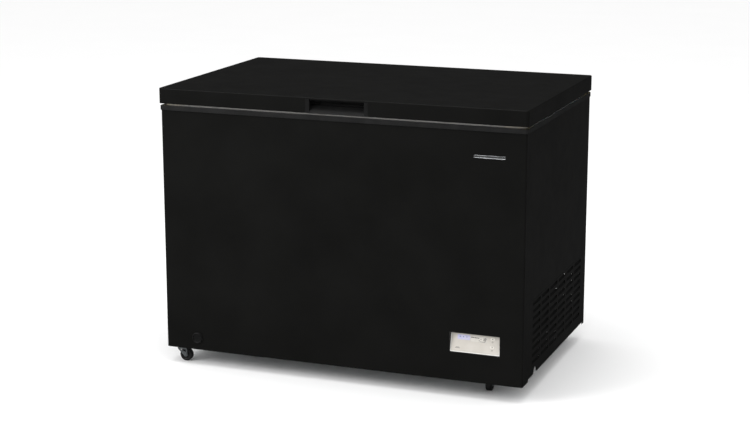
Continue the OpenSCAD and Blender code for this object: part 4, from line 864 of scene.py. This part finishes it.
def rect(cx, cz, w, h):
    x, z = (cx - w / 2, cx + w / 2), (cz - h / 2, cz + h / 2)
    return [(x[0], z[0]), (x[1], z[0]), (x[1], z[1]), (x[0], z[1])]


def round_rect(cx, cz, w, h, r):
    return [p[:2] for p in corner_loop((cx - w / 2, cx + w / 2), (cz - h / 2, cz + h / 2), r, 0)]


def segment(cx, cz, length, width, upright):
    """One bar of a seven-segment digit, pointed at both ends."""
    l, w = length / 2, width / 2
    points = [(-l, 0), (-l + w, -w), (l - w, -w), (l, 0), (l - w, w), (-l + w, w)]
    return [(cx + (-b if upright else a), cz + (a if upright else b)) for a, b in points]


def digit(cx, cz, figure, w=3.8, h=7.6):
    """The lit bars of a seven-segment digit or sign."""
    lit = {"1": "bc", "8": "abcdefg", "-": "g"}[figure]
    bars = {"a": (0, h / 2, False), "b": (w / 2, h / 4, True), "c": (w / 2, -h / 4, True),
            "d": (0, -h / 2, False), "e": (-w / 2, -h / 4, True), "f": (-w / 2, h / 4, True),
            "g": (0, 0, False)}
    return [segment(cx + x, cz + z, (h / 2 if upright else w) - 0.2, 1.3, upright)
            for x, z, upright in (bars[k] for k in lit)]


def ring(cx, cz, radius, width, start=0, stop=360, steps=20):
    """A flat arc as short bars."""
    ends = [start + (stop - start) * k / steps for k in range(steps + 1)]
    return [arc(cx, cz, radius, a, b) + arc(cx, cz, radius + width, b, a) for a, b in zip(ends, ends[1:])]


def printed(name, outlines, node, at, lift=0.06):
    """A piece of thin ink shapes on the panel's face, lifted so that the two don't share a plane."""
    ink = joined([plate(points, 0.1) for points in outlines])
    piece(name, placed(ink, at @ shift(0, -lift, 0)), node, "printed_ink", replaces=False)


def control_panel():
    """The fascia with its border, display, lamp strip, marks and keys."""
    at, (width, height) = panel_frame()
    soft_copy("fascia", "control_fascia", 0.5)
    border = plate(round_rect(0, 0, width - 0.6, height - 0.6, 1.6), 0.7,
                   [round_rect(0, 0, width - 4.2, height - 4.2, 1.2)])
    border = placed(rounded(border, 0.25, 2), at @ shift(0, -0.6, 0))
    piece("fascia_border", border, "control_fascia", "white_abs", replaces=False)

    cx, cz, w, h = in_panel("display_window", at)
    glass = rounded(plate(round_rect(cx, cz, 2 * w, 2 * h, 1.4), 2.6), 0.3, 2)
    piece("display_glass", placed(glass, at @ shift(0, -0.05, 0)), "display_window")
    figures = [bar for i, figure in enumerate("-18")
               for bar in digit(cx + w - 19 + i * 6.4, cz + 0.6, figure)]
    figures += ring(cx + w - 2.6, cz + 3.4, 0.6, 0.5, steps=10)
    figures += [rect(cx - w + 3.5 + 5 * i, cz + 4.2 - 0.2 * i, 3.6, 2.4) for i in range(5)]
    figures += [rect(cx + w - 14, cz - 6.4, 17, 1.1), rect(cx - w + 26, cz - 3.6, 3, 1.6)]
    printed("display_figures", figures, "display_window", at, 0.14)

    lx, lz, lw, _ = in_panel("indicator_lights", at)
    lamps = [lx - 10, lx, lx + 10]
    strip = plate(round_rect(lx + 1, lz - 1.0, 2 * lw + 15, 14, 3), 0.12,
                  [arc(x, lz, 1.7, *range(0, 360, 15)) for x in lamps])
    strip = placed(strip, at @ shift(0, -0.1, 0))
    piece("indicator_strip", strip, "indicator_lights", "violet_film", replaces=False)

    marks = []
    for x in lamps:
        for degrees in (0, 60, 120):
            c, s = math.cos(math.radians(degrees)), math.sin(math.radians(degrees))
            marks.append([(x + a * c - b * s, lz - 6.4 + a * s + b * c) for a, b in rect(0, 0, 3.4, 0.5)])
    keys = {node: in_panel(node, at) for node in ("button_upper", "button_lower")}
    for bx, bz, _, bh in keys.values():
        marks += ring(bx, bz - bh - 4.2, 1.5, 0.6, 120, 420, 12) + [rect(bx, bz - bh - 2.8, 0.6, 2.2)]
    marks += [rect(-width / 2 + 22, -height / 2 + 12 + 2.2 * i, 15 - 5 * i, 0.9) for i in range(2)]
    printed("fascia_marks", marks, "control_fascia", at)

    for node, (bx, bz, _, _) in keys.items():
        soft_copy(node + "_cap", node, 0.7, 3, 35)
        front = min((at.inverted() @ co).y for co in points_of(node)) / MM
        up = 1 if node == "button_upper" else -1
        sign = [(bx - 2.2, bz - 1.2 * up), (bx + 2.2, bz - 1.2 * up), (bx, bz + 1.6 * up)]
        printed(node + "_sign", [sign], node, at, 0.04 - front)


# ---- drain, castors and hinges

def drain():
    """The drain's cap: a rolled rim, a dished face and a ribbed grip across it."""
    span = Span("drain_cap")
    middle = span.middle()
    r = (span.x[1] - span.x[0]) / 2 / MM
    profile = [(0, 0), (0, r - 5.2), (-0.3, r - 4.4), (-2.2, r - 3.4), (-2.7, r - 2.6), (-2.8, r - 1.7),
               (-2.3, r - 0.7), (-1.4, r - 0.1), (-0.4, r), (0.2, r - 0.3),
               (0.2, 8.6), (15.6, 8.2), (16, 7.8), (16, 0)]
    face = span.y[0] + 2.8 * MM
    seat = Matrix.Translation((middle.x, face, middle.z))
    cap = placed(turned(profile, 56), seat @ rotation(90, "Z"))
    grip = placed(rounded(plate(round_rect(0, 0, 2 * r - 8, 4.4, 2), 2.4), 0.6, 2), seat @ shift(0, -2.1, 0))
    piece("drain_cap_moulding", joined([cap, grip]), "drain_cap", "handle_abs")
    rib = block((-0.35 * MM, 0.35 * MM), (-1.9 * MM, 1.9 * MM), (0, 0.35 * MM))
    places = [(seat @ shift(2.4 * k, -2.05, 0) @ Vector(), (0, -1, 0)) for k in range(-4, 5)]
    piece("drain_cap_ribs", set_on(places, rib, "handle_abs"), "drain_cap", "handle_abs", replaces=False)


def wheel(node, along_x):
    """A moulded wheel: tread with worn round shoulders, a dished web and a raised hub."""
    span = Span(node)
    across = span.x if along_x else span.y
    half = (across[1] - across[0]) / 2 / MM
    radius = (span.z[1] - span.z[0]) / 2 / MM
    bore, t = 3.05, half - 0.4
    side = [(t, bore), (half, 3.3), (half, 5.6), (t - 1.6, 6.4), (t - 1.9, 8.0), (t - 1.9, 12.4),
            (t - 0.5, 13.6), (t, 15.2), (t - 0.3, radius - 2.0), (t - 1.2, radius - 0.8),
            (t - 2.6, radius - 0.1), (t - 3.6, radius)]
    profile = [(t - 3.0, bore)] + side + [(-a, r) for a, r in reversed(side)] + [(-t + 3.0, bore)]
    seat = Matrix.Translation(span.middle()) @ rotation(0 if along_x else 90, "Z")
    piece(node + "_moulding", placed(turned(profile, 56), seat), node, sharp=35)


def fork(node, wheel_node, degrees):
    """A stamped castor fork: two pierced cheeks that run together at the axle, a crown and a kingpin."""
    axle = Span(wheel_node).middle()
    top = Span(node).z[1] / MM
    reach, crown = 16.0, 46.0
    half, t = 9.3, 1.5
    r = axle.z / MM
    outline = [(-10, crown - 2), (-10, crown - 9)] + arc(reach, r, 6.5, *range(200, 345, 12))
    outline += [(reach + 6, r + 3), (reach + 5, crown - 9), (reach, crown - 2)]
    window = [(-3.5, crown - 9.5), (reach - 1.5, r + 8.8), (reach + 1.2, r + 8.8), (reach + 0.6, crown - 9.5)]
    bore = arc(reach, r, 3, *range(0, 360, 20))
    cheeks = [placed(rounded(plate(outline, t, [window, bore]), 0.3, 1, 50), shift(0, y, 0))
              for y in (-half - t, half)]
    cap = rounded(plate(round_rect(3, 0, 26, 2 * (half + t), 6), 2.2), 0.5, 2, 50)
    cap = placed(cap, shift(0, 0, crown) @ rotation(-90, "X"))
    race = [(crown - 3.4, 0), (crown - 3.4, 11.5), (crown - 2.9, 13), (crown - 2.2, 13.8), (crown - 1.0, 14),
            (crown - 0.3, 13.4), (crown, 12), (crown, 4.95), (top - 0.4, 4.95), (top, 4.5), (top, 0)]
    pin = placed(turned(race, 40), rotation(-90, "Y"))
    swivel = rotation(degrees, "Z")
    foot = Vector((axle.x, axle.y, 0)) - swivel @ Vector((reach * MM, 0, 0))
    piece(node + "_stamping", placed(joined(cheeks + [cap, pin]), Matrix.Translation(foot) @ swivel), node,
          sharp=35)


def castors():
    fork("left_castor_fork", "left_castor_wheel", 0)
    fork("right_castor_fork", "right_castor_wheel", 90)
    wheel("left_castor_wheel", False)
    for node in ("right_castor_wheel", "rear_left_roller", "rear_right_roller"):
        wheel(node, True)
    for node in ("rear_roller_brackets", "castor_plates"):
        soft_copy(node + "_stamping", node, 0.35, 1)


def hinges():
    """The hinges' pressed plates, and their springs as wound wire."""
    for node in ("left_hinge_base", "right_hinge_base", "left_hinge_leaf", "right_hinge_leaf"):
        soft_copy(node + "_stamping", node, 0.4)
    rings = islands("hinge_springs")
    paths, per_turn = [], 20
    for side in (-1, 1):
        mine = [box for box in rings if box[0].x * side > 0]
        low, high = mine[0]
        thick = (high.x - low.x) / 2
        radius = (high.y - low.y) / 2 - thick
        centre = (low + high) / 2
        x0, x1 = min(b[0].x for b in mine) + thick, max(b[1].x for b in mine) - thick
        count = per_turn * len(mine)
        angles = [2 * math.pi * k / per_turn for k in range(count + 1)]
        paths.append([(x0 + (x1 - x0) * k / count, centre.y + radius * math.cos(angle),
                       centre.z + radius * math.sin(angle)) for k, angle in enumerate(angles)])
    coil = grown(WIRE, lines_mesh(paths), "oiled_spring_steel", Wire_Radius=thick, Bend_Radius=0.0, Sides=8)
    piece("hinge_spring_coils", coil, "hinge_springs", sharp=60)


# ---- basket and bay

def basket():
    """The hanging basket: bent round wires welded to a rim, with hooks over the cavity's ledge."""
    gauge, reach = 1.5 * MM, 9 * MM
    x = (BASKET.x[0] + gauge, BASKET.x[1] - gauge)
    outer = (BASKET.y[0] + gauge, BASKET.y[1] - gauge)
    y = (outer[0] + reach, outer[1] - reach)
    rim, low = BASKET.z[1] - gauge, BASKET.z[0] + gauge
    top, foot, welded = rim - 2 * gauge, rim - 3 * gauge, 1.9 * gauge

    def bent(paths, bend, closed=False):
        return grown(WIRE, lines_mesh(paths, closed), "dipped_wire", Wire_Radius=gauge, Bend_Radius=bend * MM,
                     Sides=8)

    def shares(limits, count):
        return [limits[0] + (limits[1] - limits[0]) * i / count for i in range(1, count)]
    uprights = [[(p, y[0], top), (p, y[0], low + welded), (p, y[1], low + welded), (p, y[1], top)]
                for p in shares(x, 9)]
    uprights += [[(x[0], p, top), (x[0], p, low), (x[1], p, low), (x[1], p, top)] for p in shares(y, 19)]
    hoops = []
    for z, inward in ((foot, 0.0), *((rim - drop * MM, welded) for drop in (52, 105, 158))):
        (a, b), (c, d) = (x[0] + inward, x[1] - inward), (y[0] + inward, y[1] - inward)
        hoops.append([(a, c, z), (b, c, z), (b, d, z), (a, d, z)])
    hooks = []
    for edge, out in zip(y, outer):
        for px in (x[0] + 26 * MM, (x[0] + x[1]) / 2, x[1] - 26 * MM):
            a, b = px - 18 * MM, px + 18 * MM
            hooks.append([(a, edge, foot), (a, edge, rim), (a, out, rim), (b, out, rim), (b, edge, rim),
                          (b, edge, foot)])
    wires = joined([bent(uprights, 9), bent(hoops, 16, closed=True), bent(hooks, 3)])
    piece("basket_wires", wires, "wire_basket", sharp=60)


def bay_parts():
    """Rounded copies of the bay's pressings and mouldings."""
    for node, width in (("rear_vent_cover", 0.4), ("compressor_tray", 0.3), ("control_housing", 0.5),
                        ("cord_gland", 0.8), ("compressor", 1.2)):
        soft_copy(node + "_finished", node, width)


# ---- stage, light and camera

def stage():
    """A floor of pale paper in a white world, both darker in reflections: the floor's dark grey there is a
    painted reflection, and the world gives less light to glossy rays.
    """
    half, straight, reflected = 60, 1.0, 0.06
    corners = [(x, y, 0) for x, y in ((-half, -half), (half, -half), (half, half), (-half, half))]
    form = bmesh.new()
    form.faces.new([form.verts.new(corner) for corner in corners])
    floor = loose_object(mesh_of(form))
    floor.name = "studio_floor"
    floor.data.materials.append(FINISHES["studio_floor"])
    world = bpy.data.worlds.new("studio")
    world.use_nodes = True
    tree = world.node_tree
    gloss = add(tree, "ShaderNodeLightPath").outputs["Is Glossy Ray"]
    back = tree.nodes["Background"]
    back.inputs["Color"].default_value = linear("#ffffff")
    tree.links.new(spread(tree, gloss, straight, reflected), back.inputs["Strength"])
    bpy.context.scene.world = world
    bpy.context.scene.view_settings.view_transform = "Standard"


def soft_box(name, place, target, size, power):
    light = bpy.data.lights.new(name, "AREA")
    light.shape = "RECTANGLE"
    light.size, light.size_y = size
    light.energy = power
    lamp = in_scene(bpy.data.objects.new(name, light))
    lamp.location = place
    lamp.rotation_euler = (Vector(target) - Vector(place)).to_track_quat("-Z", "Y").to_euler()


def camera():
    """A long lens at standing height, in front of the freezer and to its right, looking a little down."""
    yaw, pitch = 0.36518, 0.23121
    made = in_scene(bpy.data.objects.new("camera", bpy.data.cameras.new("camera")))
    made.data.sensor_width = 36
    made.data.lens = 83.96
    made.data.clip_end = 200
    made.location = (1.86479, -4.93404, 1.65679)
    made.rotation_euler = (math.pi / 2 - pitch, 0, yaw)
    bpy.context.scene.camera = made


for make in (lid_shell, lid_inner, lid_seal, handle, cabinet_sheets, grille, badge, screws, control_panel,
             drain, castors, hinges, basket, bay_parts, stage, camera):
    make()
soft_box("overhead", (0.2, -0.6, 4.0), (0, -0.2, 0.4), (3.0, 2.0), 60)
soft_box("front_left", (-3.0, -3.4, 2.8), (0, 0, 0.5), (2.0, 2.0), 95)
